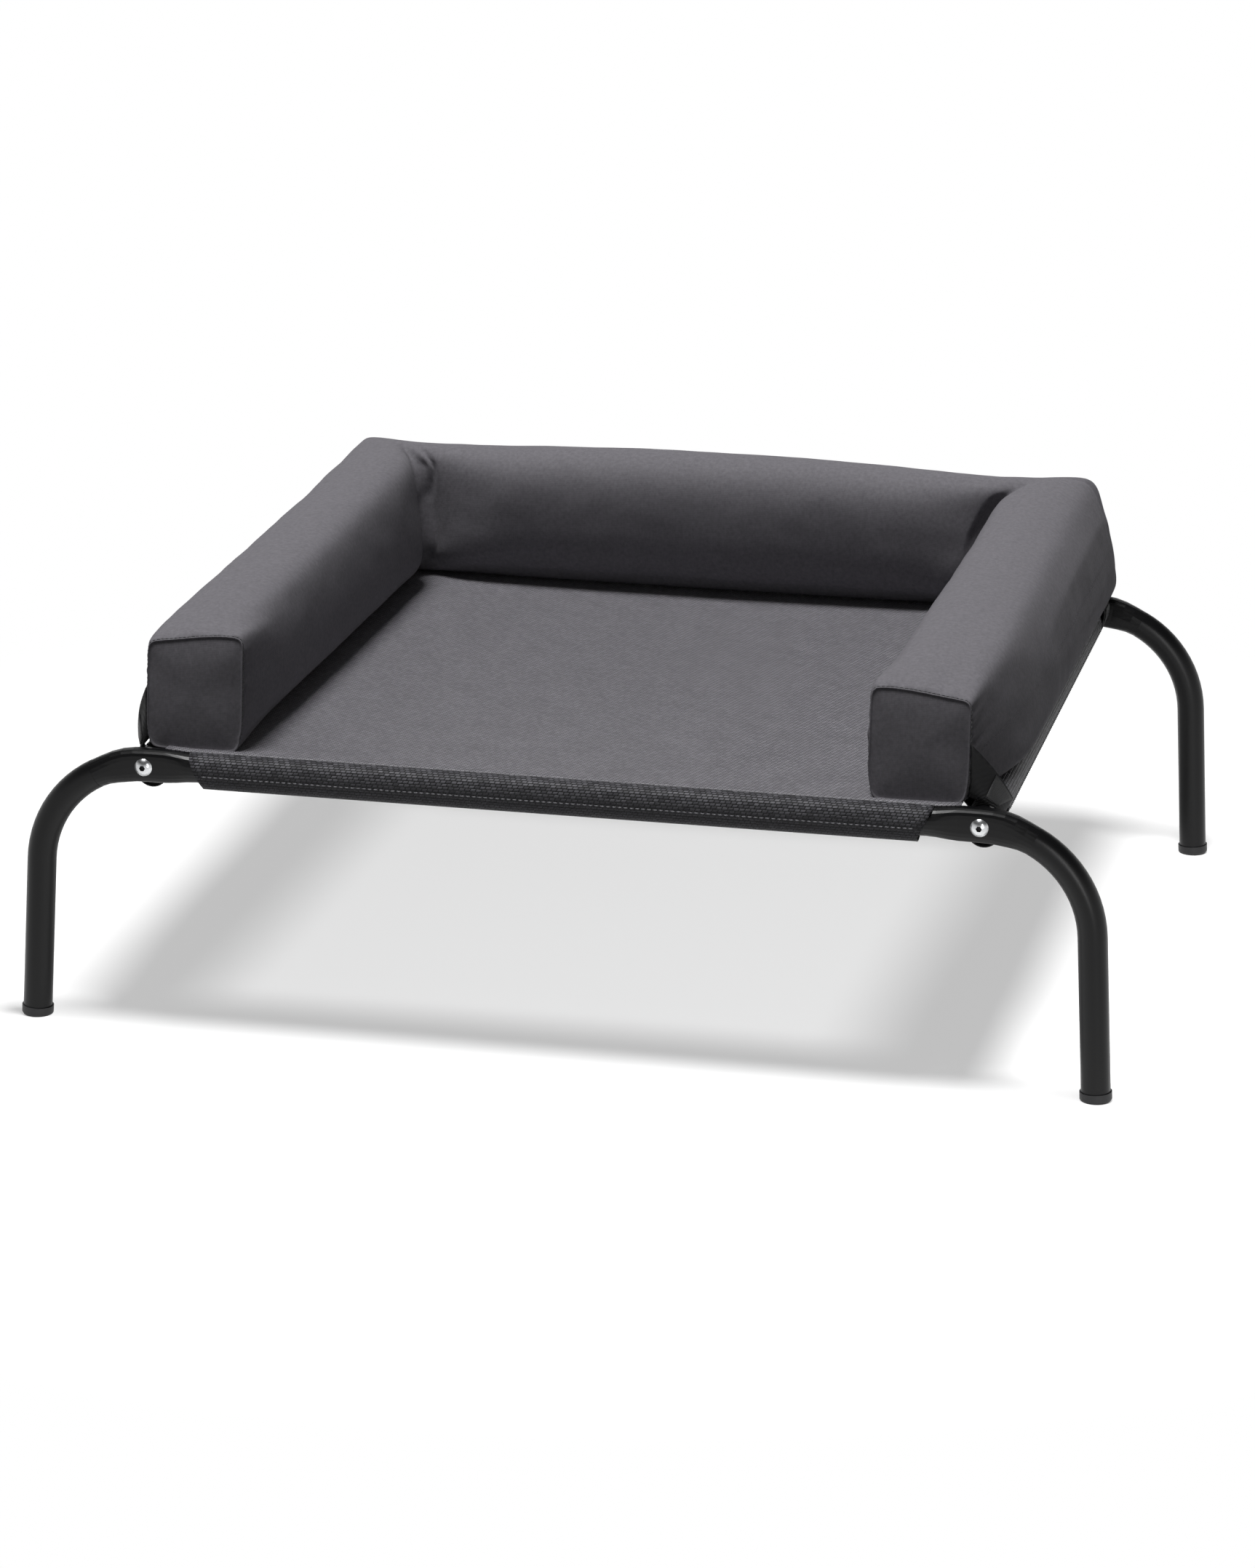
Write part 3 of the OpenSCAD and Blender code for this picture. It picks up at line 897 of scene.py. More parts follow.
    def section(self) -> np.ndarray:
        """The sleeve's line round its tube, from the bed's edge to the end of the hem under the bed.

        Returns:
            Points as (out of the bed, up) from the tube's centre.
        """
        turns = np.linspace(math.pi / 2, self.leave, self.ring_steps)
        lip = self.lip * smoothstep((turns - self.lip_angle) / self.lip_rise)
        lip *= 1 - smoothstep((turns - self.lip_end) / self.lip_fade)
        ring = (self.drooped(turns) + lip)[:, None] * circle(turns)
        heading = np.array([math.sin(self.leave), -math.cos(self.leave)])
        low = self.radius - self.cloth - self.hem_gap
        share = np.linspace(0, 1, self.flat_steps)[1:, None]
        web = ring[-1] + share * (low - ring[-1, 1]) / heading[1] * heading
        flap = web[-1] + share * np.array([-self.hem, 0.0])
        return np.concatenate([ring, web, flap])

    def build_sleeve(self, node: str, half: float, place: Matrix) -> None:
        """Builds one sleeve with its lapped edge, and the row of stitches on it.

        Args:
            node: the CAD node that it stands for.
            half: half its length along the top.
            place: from the sleeve's own axes (along, out of the bed, up) to the cot's.
        """
        line = self.section()
        along = distances(line)
        count = int(2 * half / self.step) + 1
        spread = np.linspace(-1, 1, count)
        turned, moved = np.array(place.to_3x3()).T, np.array(place.translation)
        rows, cloth = [], []
        for (out, up), s in zip(line, along):
            reach = half - self.slant * (self.radius - max(up, -self.radius))
            rows.append(np.stack([spread * reach, np.full(count, out), np.full(count, up)], axis=1))
            cloth.append(
                np.stack([spread * reach + MESH_SLANT * s, np.full(count, s), np.zeros(count)], axis=1)
            )
        points = np.concatenate(rows) @ turned + moved
        faces = strip_faces(len(line), count, False)
        piece = make_piece(f"{node}_cloth", points, faces, np.concatenate(cloth))
        self.face_out(piece, place)
        thicken(piece, self.cloth, -1.0)
        dress(piece, SLEEVE_CLOTH, "mesh", node)
        out = np.array([0.0, *circle(self.seam_angle)])
        radius = float(self.drooped(self.seam_angle)) + self.lip
        reach = half - self.slant * (self.radius - out[2] * radius) - self.seam_inset
        seam = np.outer(np.linspace(-reach, reach, count), (1, 0, 0)) + radius * out
        name = f"{node}_cloth_stitches"
        stitches = self.stitching.sew(name, seam @ turned + moved, np.tile(out @ turned, (count, 1)))
        dress(stitches, THREAD, "mesh")
        self.sleeves.append(piece)

    def face_out(self, piece: bpy.types.Object, place: Matrix) -> None:
        """Turns a sleeve's faces so that they look away from its tube, as one on the tube's front shows."""
        mesh = piece.data
        along = np.array(place.to_3x3())[:, 0]
        middle = mesh.polygons[len(mesh.polygons) // 5]
        away = np.array(middle.center) - np.array(place.translation)
        away -= along * (away @ along)
        if np.array(middle.normal) @ away < 0:
            mesh.flip_normals()

    def build(self) -> bpy.types.Object:
        """Builds the panel and its four sleeves.

        Returns:
            The panel.
        """
        panel = self.build_panel()
        up = Vector((0, 0, 1))
        edges = [(end, Vector((0, end.value, 0)), self.frame_y, self.long_half) for end in End]
        edges += [(side, Vector((side.value, 0, 0)), self.rail_x, self.side_half) for side in Side]
        for edge, out, far, half in edges:
            place = Matrix((up.cross(out), out, up)).transposed().to_4x4()
            place.translation = out * far + up * self.rail_z
            self.build_sleeve(f"{edge.name.lower()}_sleeve", half, place)
        return panel


@dataclass(frozen=True)
class Span:
    """A stretch of the way round the bolster's section, as shares of it from the outer side over the top."""

    start: float
    rise: float
    stop: float
    fall: float

    def share(self, turn: np.ndarray) -> np.ndarray:
        """1 within the stretch and 0 outside it, with eased ends."""
        return smoothstep((turn - self.start) / self.rise) * (1 - smoothstep((turn - self.stop) / self.fall))


@dataclass(frozen=True)
class Fold:
    """A line along which the cover stands out, or sinks in where its height is below 0."""

    height: float
    width: float
    span: Span

    def move(self, off: np.ndarray, turn: np.ndarray) -> np.ndarray:
        """How far it moves points at these distances off its line and shares of the way round."""
        return self.span.share(turn) * self.height * dent(off, self.width)


def dent(off: np.ndarray, width: float) -> np.ndarray:
    """A rounded dent of depth 1 and a width, at distances off its middle."""
    return np.exp(-((off / width) ** 2))


def turn_gap(turn: np.ndarray, middle: float, period: float = 1.0) -> np.ndarray:
    """How far round points are from a middle that comes back each period, as shares of the way round."""
    return np.abs((turn - middle + period / 2) % period - period / 2)


PLEAT_SPAN = Span(0.28, 0.05, 0.43, 0.03)
WRINKLE_SPAN = Span(0.02, 0.04, 0.19, 0.05)


@dataclass
class Bolster:
    """The stuffed bolster: two arms and a back under one sewn cover, each arm with a square end panel."""

    arm_x: float
    back_y: float
    end_y: float
    base_z: float
    width: float
    height: float
    end_width: float
    end_height: float
    crown: float
    rail_x: float
    rail_z: float
    frame_y: float
    # Length round the section, for the weave
    girth: float = 310 * MM
    # Each arm grows from its end panel to its full section over this length
    swell: float = 150 * MM
    # Corners of an arm's section as shares of its width and height: a flat top, sides that lean, a narrower
    # base on the bed, and an outer edge that hangs over the rail
    arm_corners: tuple[tuple[float, float], ...] = (
        (0.545, 0.45),
        (0.4, 0.985),
        (-0.35, 0.985),
        (-0.5, 0.17),
        (-0.31, 0.0),
        (0.43, 0.0),
        (0.54, -0.045),
        (0.63, -0.03),
    )
    arm_soft: float = 10.5 * MM
    back_squares: tuple[float, ...] = (3.2, 3.2, 2.2, 3.5)
    # Heights of the arms over the bed: each rises slowly from its end panel to the mitre
    right_end_top: float = 86.5 * MM
    left_end_top: float = 91 * MM
    mitre_top: float = 105 * MM
    rise_power: float = 0.7
    end_sink: float = 2 * MM
    end_squares: tuple[float, ...] = (13.0, 13.0, 4.4, 4.4)
    # The outer top corner of an end panel hangs lower than the inner one, with a slope across the top
    end_droop: float = 8 * MM
    droop_slope: float = 1.3
    # The end seam draws the arm in by these shares of its width and height, within a short way of it
    seam_pull: tuple[float, float] = (0.05, 0.032)
    pull_reach: float = 9 * MM
    # The end panel's lower edge lies further forward than its upper one
    toe: float = 8 * MM
    # Rings turn into the mitre over this length
    lean: float = 130 * MM
    # The round sections are pressed this far into the bed, with a soft edge
    sink: float = 5 * MM
    press_soft: float = 3 * MM
    around: int = 96
    # Distances of the rings behind an end seam in mm, and their steps along the runs and near the mitres
    seam_steps: tuple[float, ...] = (0, 0.7, 1.5, 2.5, 4, 6, 8.5, 11.5, 15, 19, 24)
    plain_start: float = 30 * MM
    step: float = 6 * MM
    fine_step: float = 2.5 * MM
    fine_reach: float = 55 * MM
    # The soft arms don't stand quite straight: each end lies this far along X from its middle line
    right_drift: float = -10 * MM
    left_drift: float = -4 * MM
    inner_reach: float = 430 * MM
    outer_reach: float = 130 * MM
    # Its own weight lets the bolster spread outwards over the rails, up to so many half heights
    spread: float = 7 * MM
    spread_high: float = 1.3
    # How far its outer edge may hang below the bed, and where that starts and over how much, in widths
    hang: float = 5 * MM
    hang_from: float = 0.42
    hang_over: float = 0.1
    # The tubes have no sleeve this far behind the end panels
    bare_reach: float = 30 * MM
    # The filling: frames of the simulation, the furthest that it moves a point, and how often that is evened
    sim_frames: int = 20
    sim_cap: float = 4.5 * MM
    even_rounds: int = 24
    # Points this low rest on the bed, and the seam in each inner corner holds its crease
    held_low: float = 1.2 * MM
    held_crease: Span = Span(0.26, 0.06, 0.66, 0.06)
    held_reach: float = 16 * MM
    held_turns: tuple[float, float] = (0.3, 0.68)
    # Size and height of the soft lumps in the filling, large and small
    large_lumps: tuple[float, float] = (60 * MM, 0.8 * MM)
    small_lumps: tuple[float, float] = (19 * MM, 0.4 * MM)
    lump_clear: float = 20 * MM
    # The end seam's groove, and the puckers that it gathers, most of them on the outer side
    groove: float = 0.9 * MM
    groove_width: float = 1.4 * MM
    pucker: float = 0.8 * MM
    outer_pucker: float = 1.0 * MM
    outer_middle: float = 0.05
    outer_half: float = 0.12
    pucker_pitch: float = 12.5 * MM
    pucker_reach: float = 11 * MM
    pucker_clear: float = 1.5 * MM
    # How far their line wanders, in radians, and over which distance
    wander: float = 6.6
    wander_size: float = 40 * MM
    # A soft ridge runs back from the middle of each side of the end panel
    ridge: float = 1.1 * MM
    ridge_width: float = 0.02
    ridge_reach: float = 38 * MM
    ridge_clear: float = 4 * MM
    # The crease in each inner corner: its depth and its reach on the back, and its reach on the arm
    crease: Span = Span(0.27, 0.08, 0.66, 0.06)
    right_crease: tuple[float, float] = (9.5 * MM, 13 * MM)
    left_crease: tuple[float, float] = (13 * MM, 17 * MM)
    arm_crease_reach: float = 11 * MM
    # The mitre's seam on the outer side
    mitre_seam: float = 0.5 * MM
    mitre_seam_width: float = 2.2 * MM
    mitre_seam_middle: float = 0.08
    mitre_seam_half: float = 0.22
    # The way down an inner side, as shares of the way round: where it starts and how long it is
    inner_top: float = 0.31
    inner_length: float = 0.14
    # At the left, a second crease with a ridge beside it runs from here down into the first
    pleat_off: float = -15 * MM
    pleat: tuple[Fold, Fold] = (Fold(-3.6 * MM, 1.7 * MM, PLEAT_SPAN), Fold(2.2 * MM, 3.5 * MM, PLEAT_SPAN))
    # At the right, the back's cover sinks behind the arm, over a width that grows on the way down
    sunk: float = 3.6 * MM
    sunk_span: Span = Span(0.31, 0.03, 0.43, 0.09)
    sunk_width: tuple[float, float] = (5 * MM, 22 * MM)
    sunk_edge: float = 5 * MM
    # A faint wrinkle crosses the outer right corner, with a ridge beside it
    wrinkle_line: tuple[float, float] = (-34 * MM, 126 * MM)
    wrinkle: tuple[Fold, Fold] = (
        Fold(-1.5 * MM, 2.4 * MM, WRINKLE_SPAN),
        Fold(1.0 * MM, 4 * MM, WRINKLE_SPAN),
    )
    wrinkle_gap: float = 7 * MM
    # Folds fade out near the bed
    fold_low: float = 2 * MM
    fold_fade: float = 10 * MM
    # The seam of the base panel shows low on the inner side
    base_seam: float = 1.1 * MM
    base_seam_high: float = 9 * MM
    base_seam_width: float = 1.8 * MM
    base_seam_turns: tuple[float, float] = (0.45, 0.75)
    # An end panel from its turned edge inwards: each ring's scale, and how far it lies behind the seam in mm
    panel_edge: tuple[tuple[float, float], ...] = (
        (0.985, 1.2),
        (1.0, 0.4),
        (1.003, -0.2),
        (0.998, -0.7),
        (0.986, -0.8),
        (0.972, -0.3),
        (0.955, -0.2),
    )
    panel_inside: tuple[float, ...] = (0.9, 0.8, 0.64, 0.45, 0.22)
    panel_puff: float = 2.2 * MM
    panel_lumps: tuple[float, float] = (24 * MM, 0.6 * MM)
    panel_cloth: float = 0.5 * MM
    # The stitches that close an end seam lie just behind it, and look this much forward
    seam_stitching: Stitching = Stitching(pitch=3.4 * MM, length=3.2 * MM, thick=0.9 * MM)
    seam_behind: float = 0.9 * MM
    seam_look: float = 0.35
    fill_share: float = 0.8
    ends: dict[Side, np.ndarray] = field(default_factory=dict)

    @classmethod
    def from_frame(cls) -> "Bolster":
        """Takes the sizes from the CAD nodes."""
        low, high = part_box("right_arm_cover")
        back_low, back_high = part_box("back_cover")
        panel_low, panel_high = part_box("right_end_panel")
        rail_x, _, rail_z = middle_of("right_side_rail")
        width, height = high.x - low.x, high.z - low.z
        return cls(
            arm_x=(low.x + high.x) / 2,
            back_y=back_high.y - width / 2,
            end_y=low.y,
            base_z=low.z,
            width=width,
            height=height,
            end_width=panel_high.x - panel_low.x,
            end_height=panel_high.z - panel_low.z,
            crown=(back_high.z - back_low.z) - height,
            rail_x=rail_x,
            rail_z=rail_z,
            frame_y=middle_of("rear_leg_frame")[1],
        )

    @property
    def run(self) -> float:
        """Length of an arm from its end panel to the mitre."""
        return self.back_y - self.end_y

    def end_line(self, z: np.ndarray) -> np.ndarray:
        """Where along Y an end panel is at a height."""
        return self.end_y - self.toe * (1 - (z - self.base_z) / self.end_height)

    def seat(self, up: np.ndarray) -> np.ndarray:
        """Flattens heights near the bed, where the bolster rests on it."""
        soft = self.press_soft
        return np.where(up > soft, up, soft * np.exp((np.minimum(up, soft) - soft) / soft))

    def ring(
        self, half_wide: float, half_tall: float, squares: tuple[float, ...], spread: float
    ) -> np.ndarray:
        """One round section: points as (outwards, height above the bed)."""
        section = outline(half_wide, half_tall + self.sink / 2, np.array(squares), self.around)
        section[:, 1] = self.seat(section[:, 1] + half_tall - self.sink / 2)
        low = smoothstep(1 - section[:, 1] / (self.spread_high * half_tall))
        section[:, 0] += spread * low * smoothstep(section[:, 0] / half_wide)
        return section

    def arm_section(self) -> np.ndarray:
        """The full section of an arm: points as (outwards, height above the bed)."""
        return rounded(np.array(self.arm_corners) * (self.width, self.height), self.arm_soft, self.around)

    def arm_ring(self, behind: float, side: Side) -> np.ndarray:
        """One ring of an arm at a distance behind its end panel, in the cot's axes."""
        right = side is Side.RIGHT
        share = math.sin(math.pi / 2 * min(1.0, behind / self.swell))
        end = self.ring(self.end_width / 2, self.end_height / 2, self.end_squares, 0.0)
        section = blend(end, self.arm_section(), share)
        end_top = self.right_end_top if right else self.left_end_top
        top = blend(end_top, self.mitre_top, (behind / self.run) ** self.rise_power)
        section[:, 1] *= top / section[:, 1].max()
        section *= 1 - np.array(self.seam_pull) * math.exp(-behind / self.pull_reach)
        tilt = smoothstep((behind - (self.run - self.lean)) / self.lean)
        across = np.clip(section[:, 0] / self.width + 0.5, 0, 1)
        fade = blend(smoothstep(behind / self.inner_reach), smoothstep(behind / self.outer_reach), across)
        shift = (self.right_drift if right else self.left_drift) * (1 - fade)
        outer = smoothstep(1 - self.droop_slope * (1 - across))
        section[:, 1] -= self.end_droop * (1 - share) * outer * section[:, 1] / self.height
        y = self.end_y + behind + tilt * section[:, 0]
        y += (1 - share) * (self.end_line(self.base_z + section[:, 1]) - self.end_y)
        x = side.value * (self.arm_x + section[:, 0]) + shift
        low = self.base_z - self.end_sink * (1 - share)
        return np.stack([x, y, low + section[:, 1]], axis=1)

    def back_ring(self, gone: float) -> np.ndarray:
        """One ring of the back at a distance from the right mitre, in the cot's axes."""
        left_gone = 2 * self.arm_x - gone
        crown = self.crown * math.sin(math.pi * gone / (2 * self.arm_x)) / 2
        corner = float(smoothstep(1 - min(gone, left_gone) / self.lean))
        half_wide, half_tall = self.width / 2 + crown / 2, self.height / 2 + crown
        mitre = self.arm_section()
        mitre[:, 1] *= self.mitre_top / mitre[:, 1].max()
        section = blend(self.ring(half_wide, half_tall, self.back_squares, self.spread), mitre, corner)
        turned = smoothstep(left_gone / self.lean) - smoothstep(gone / self.lean)
        x = self.arm_x - gone + turned * section[:, 0]
        y = self.back_y - crown / 2 + section[:, 0]
        return np.stack([x, y, self.base_z + section[:, 1]], axis=1)

    def rings(self) -> tuple[np.ndarray, np.ndarray]:
        """All the rings, from the right arm's end round the back to the left arm's end.

        Returns:
            Rings of points, and each ring's distance along the bolster.
        """
        wide = 2 * self.arm_x
        plain, centre = self.run - self.fine_reach, wide - 2 * self.fine_reach
        middle = np.linspace(self.plain_start, plain, int(plain / self.step))
        corner = np.arange(self.fine_step, self.fine_reach, self.fine_step)
        seam = np.array(self.seam_steps) * MM
        behind = np.concatenate([seam, middle, (self.run - corner)[::-1], [self.run]])
        between = np.linspace(self.fine_reach, wide - self.fine_reach, int(centre / self.step))
        gone = np.concatenate([corner, between, (wide - corner)[::-1]])
        rings = [self.arm_ring(d, Side.RIGHT) for d in behind]
        rings += [self.back_ring(d) for d in gone]
        rings += [self.arm_ring(d, Side.LEFT) for d in behind[::-1]]
        along = np.concatenate([behind, self.run + gone, 2 * self.run + wide - behind[::-1]])
        return np.array(rings), along

    def spots(self, along: np.ndarray) -> tuple[np.ndarray, np.ndarray]:
        """For each point, its distance along the bolster and its share of the way round its ring."""
        return np.repeat(along, self.around), np.tile(np.arange(self.around) / self.around, len(along))

    def mitres(self, along: np.ndarray) -> tuple[tuple[Side, float], ...]:
        """Each side with its mitre's distance along the bolster."""
        return (Side.RIGHT, self.run), (Side.LEFT, along[-1] - self.run)

    def simulated(self, piece: bpy.types.Object, held: np.ndarray) -> np.ndarray:
        """Lets the filling press the cover out as simulated cloth.

        Args:
            piece: the cover as cut and closed.
            held: for each point, whether its seam or the bed holds it.

        Returns:
            Where the filling takes the points.
        """
        scene = bpy.context.scene
        group = piece.vertex_groups.new(name="held")
        group.add(np.flatnonzero(held).tolist(), 1.0, "REPLACE")
        cloth = piece.modifiers.new("filling", "CLOTH")
        rules = cloth.settings
        rules.quality, rules.mass, rules.time_scale = 5, 0.15, 1.0
        rules.tension_stiffness = rules.compression_stiffness = 40.0
        rules.shear_stiffness, rules.bending_stiffness = 12.0, 0.4
        rules.use_pressure, rules.uniform_pressure_force = True, 4.0
        rules.vertex_group_mass = "held"
        rules.effector_weights.gravity = 0.0
        cloth.collision_settings.use_collision = False
        cloth.point_cache.frame_start, cloth.point_cache.frame_end = 1, self.sim_frames
        for number in range(1, self.sim_frames + 1):
            scene.frame_set(number)
        moved = get_points(piece.evaluated_get(bpy.context.evaluated_depsgraph_get()).to_mesh())
        piece.modifiers.remove(cloth)
        piece.vertex_groups.remove(group)
        scene.frame_set(1)
        return moved

    def swelled(self, piece: bpy.types.Object, along: np.ndarray) -> np.ndarray:
        """Swells the cover by its filling, held by its seams and the bed.

        Args:
            piece: the cover as cut and closed.
            along: each ring's distance along the bolster.

        Returns:
            Where the filling takes the points, none further than the cap.
        """
        start = get_points(piece.data)
        gone, turn = self.spots(along)
        past = np.min([np.abs(gone - mitre) for _, mitre in self.mitres(along)], axis=0)
        held = start[:, 2] < self.base_z + self.held_low
        held[: self.around] = held[-self.around :] = True
        held |= (past < 0.1 * MM) & (turn > self.held_turns[0]) & (turn < self.held_turns[1])
        free = 1 - self.held_crease.share(turn) * (1 - smoothstep(past / self.held_reach))
        move = (self.simulated(piece, held) - start).reshape(-1, self.around, 3)
        move = self.evened(move).reshape(-1, 3) * free[:, None]
        far = np.linalg.norm(move, axis=1, keepdims=True)
        log.info("filling moved the cover by up to %.1f mm, mean %.1f mm", far.max() / MM, far.mean() / MM)
        return start + move * np.minimum(1, self.sim_cap / np.maximum(far, TINY))

    def evened(self, move: np.ndarray) -> np.ndarray:
        """Takes single buckles out of the swelling, which a full bolster doesn't keep.

        Args:
            move: how far each point of each ring moved.

        Returns:
            The same, evened along and round the bolster.
        """
        keep = 0.4
        share = (1 - keep) / 4
        for _ in range(self.even_rounds):
            ahead = np.concatenate([move[1:], move[-1:]])
            before = np.concatenate([move[:1], move[:-1]])
            beside = np.roll(move, 1, axis=1) + np.roll(move, -1, axis=1)
            inside = keep * move + share * (ahead + before + beside)
            move = np.concatenate([move[:1], inside[1:-1], move[-1:]])
        return move

    def end_seams(self, gone: np.ndarray, turn: np.ndarray, whole: float) -> np.ndarray:
        """How far the end seams, their uneven puckers and the ridges behind them move each point out.

        Args:
            gone: each point's distance along the bolster.
            turn: its share of the way round.
            whole: length of the bolster.

        Returns:
            A distance for each point.
        """
        front = np.minimum(gone, whole - gone)
        girth = turn * self.girth
        move = -self.groove * dent(front, self.groove_width)
        wander = ripple(np.stack([girth, gone > whole / 2, 0 * girth], axis=1), self.wander_size, 2.0)
        pucker = np.sin(2 * math.pi * girth / self.pucker_pitch + self.wander * wander)
        outer = 1 - smoothstep(turn_gap(turn, self.outer_middle) / self.outer_half)
        pucker *= self.pucker + self.outer_pucker * outer
        move += pucker * np.exp(-front / self.pucker_reach) * (1 - np.exp(-front / self.pucker_clear))
        ridge = self.ridge * dent(turn_gap(turn, 0.0, 0.25), self.ridge_width)
        ridge *= np.exp(-front / self.ridge_reach)
        return move + ridge * smoothstep(front / self.ridge_clear)

    def mitre_folds(self, side: Side, past: np.ndarray, turn: np.ndarray) -> np.ndarray:
        """How far the crease, seam and folds at a mitre move each point out.

        Args:
            side: which mitre.
            past: each point's distance along the bolster past the mitre.
            turn: its share of the way round.

        Returns:
            A distance for each point.
        """
        right = side is Side.RIGHT
        # Both covers are drawn into the crease between them, the back's further
        deep, wide = self.right_crease if right else self.left_crease
        reach = np.where((past > 0) == right, wide, self.arm_crease_reach)
        move = -self.crease.share(turn) * deep * np.exp(-np.abs(past) / reach)
        outer = 1 - smoothstep(turn_gap(turn, self.mitre_seam_middle) / self.mitre_seam_half)
        move -= outer * self.mitre_seam * dent(past, self.mitre_seam_width)
        down = np.clip((turn - self.inner_top) / self.inner_length, 0, 1)
        if right:
            width = blend(*self.sunk_width, down)
            behind_arm = smoothstep((width - past) / self.sunk_edge) * (past > 0)
            move -= self.sunk * behind_arm * self.sunk_span.share(turn)
            line = blend(*self.wrinkle_line, turn)
            lines = zip(self.wrinkle, (line, line + self.wrinkle_gap))
        else:
            line = self.pleat_off * (1 - down)
            lines = zip(self.pleat, (line, line / 2))
        return move + sum(fold.move(past - where, turn) for fold, where in lines)

    def folds(self, points: np.ndarray, along: np.ndarray) -> np.ndarray:
        """How far seams, puckers, creases and soft lumps move each point out of the cover.

        Args:
            points: the cover's points, ring by ring.
            along: each ring's distance along the bolster.

        Returns:
            A distance along the normal for each point.
        """
        gone, turn = self.spots(along)
        (large, large_high), (small, small_high) = self.large_lumps, self.small_lumps
        move = ripple(points, large, 1.3) * large_high + ripple(points, small, 4.1) * small_high
        move *= smoothstep(np.minimum(gone, along[-1] - gone) / self.lump_clear)
        move += self.end_seams(gone, turn, along[-1])
        for side, mitre in self.mitres(along):
            move += self.mitre_folds(side, gone - mitre, turn)
        high = points[:, 2] - self.base_z
        move *= smoothstep((high - self.fold_low) / self.fold_fade)
        seam = self.base_seam * dent(high - self.base_seam_high, self.base_seam_width)
        return move - seam * (turn > self.base_seam_turns[0]) * (turn < self.base_seam_turns[1])

    def build_cover(self) -> bpy.types.Object:
        """Builds the stuffed cover as one closed form, lets it swell and sews its folds in.

        Returns:
            The cover.
        """
        rings, along = self.rings()
        points = rings.reshape(-1, 3)
        gone, turn = self.spots(along)
        cloth = np.stack([gone, turn * self.girth, 0 * gone], axis=1)
        faces = strip_faces(len(rings), self.around, True)
        faces.append(tuple(range(self.around)))
        faces.append(tuple(reversed(range(len(points) - self.around, len(points)))))
        piece = make_piece("bolster_cover", points, faces, cloth)
        points = self.kept_apart(self.swelled(piece, along), along)
        put_points(piece.data, points)
        points = points + get_points(piece.data, "normal") * self.folds(points, along)[:, None]
        points = self.clear_of_tubes(self.clear_of_bed(points))
        put_points(piece.data, points)
        self.ends = {Side.RIGHT: points[: self.around], Side.LEFT: points[-self.around :]}
        smooth = piece.modifiers.new("round", "SUBSURF")
        smooth.levels = smooth.render_levels = 1
        nodes = [f"{run}_{part}" for part in ("cover", "core") for run in ("left_arm", "back", "right_arm")]
        dress(piece, COVER_CLOTH, "cover", *nodes)
        return piece

    def clear_of_bed(self, points: np.ndarray) -> np.ndarray:
        """Keeps the cover over the bed, but for its outer edge, which hangs a little lower.

        Args:
            points: the cover's points.

        Returns:
            The points, with any that lay too low put on the bed.
        """
        out = np.maximum(np.abs(points[:, 0]) - self.arm_x, points[:, 1] - self.back_y)
        hang = self.hang * smoothstep((out / self.width - self.hang_from) / self.hang_over)
        lowest = self.base_z - self.end_sink - hang
        return np.stack([points[:, 0], points[:, 1], np.maximum(points[:, 2], lowest)], axis=1)

    def clear_of_tubes(self, points: np.ndarray) -> np.ndarray:
        """Keeps the cover off the sleeves round the side and rear tubes.

        Args:
            points: the cover's points.

        Returns:
            The points, with any that lay in a sleeve put on it.
        """
        clear = points.copy()
        sleeved = clear[:, 1] > self.end_y + self.bare_reach
        for axis, middle in ((0, self.rail_x), (1, self.frame_y)):
            out = np.abs(clear[:, axis]) - middle
            up = clear[:, 2] - self.rail_z
            far = np.maximum(np.hypot(out, up), TINY)
            push = sleeved * np.maximum(self.base_z - self.rail_z - far, 0) / far
            clear[:, axis] += np.sign(clear[:, axis]) * out * push
            clear[:, 2] += up * push
        return clear

    def kept_apart(self, points: np.ndarray, along: np.ndarray) -> np.ndarray:
        """Keeps an arm and the back each on its own side of the mitre between them.

        Args:
            points: the swollen cover's points, ring by ring.
            along: each ring's distance along the bolster.

        Returns:
            The points, with any that crossed the mitre put back on it.
        """
        kept = points.copy()
        gone, _ = self.spots(along)
        for side, mitre in self.mitres(along):
            level = (kept[:, 1] - self.back_y) - (side.value * kept[:, 0] - self.arm_x)
            near = np.abs(gone - mitre) < self.lean
            on_arm = (gone < mitre) if side is Side.RIGHT else (gone > mitre)
            over = np.where(on_arm, np.maximum(level, 0), np.minimum(level, 0)) * near
            kept[:, 1] -= over / 2
            kept[:, 0] += side.value * over / 2
        return kept

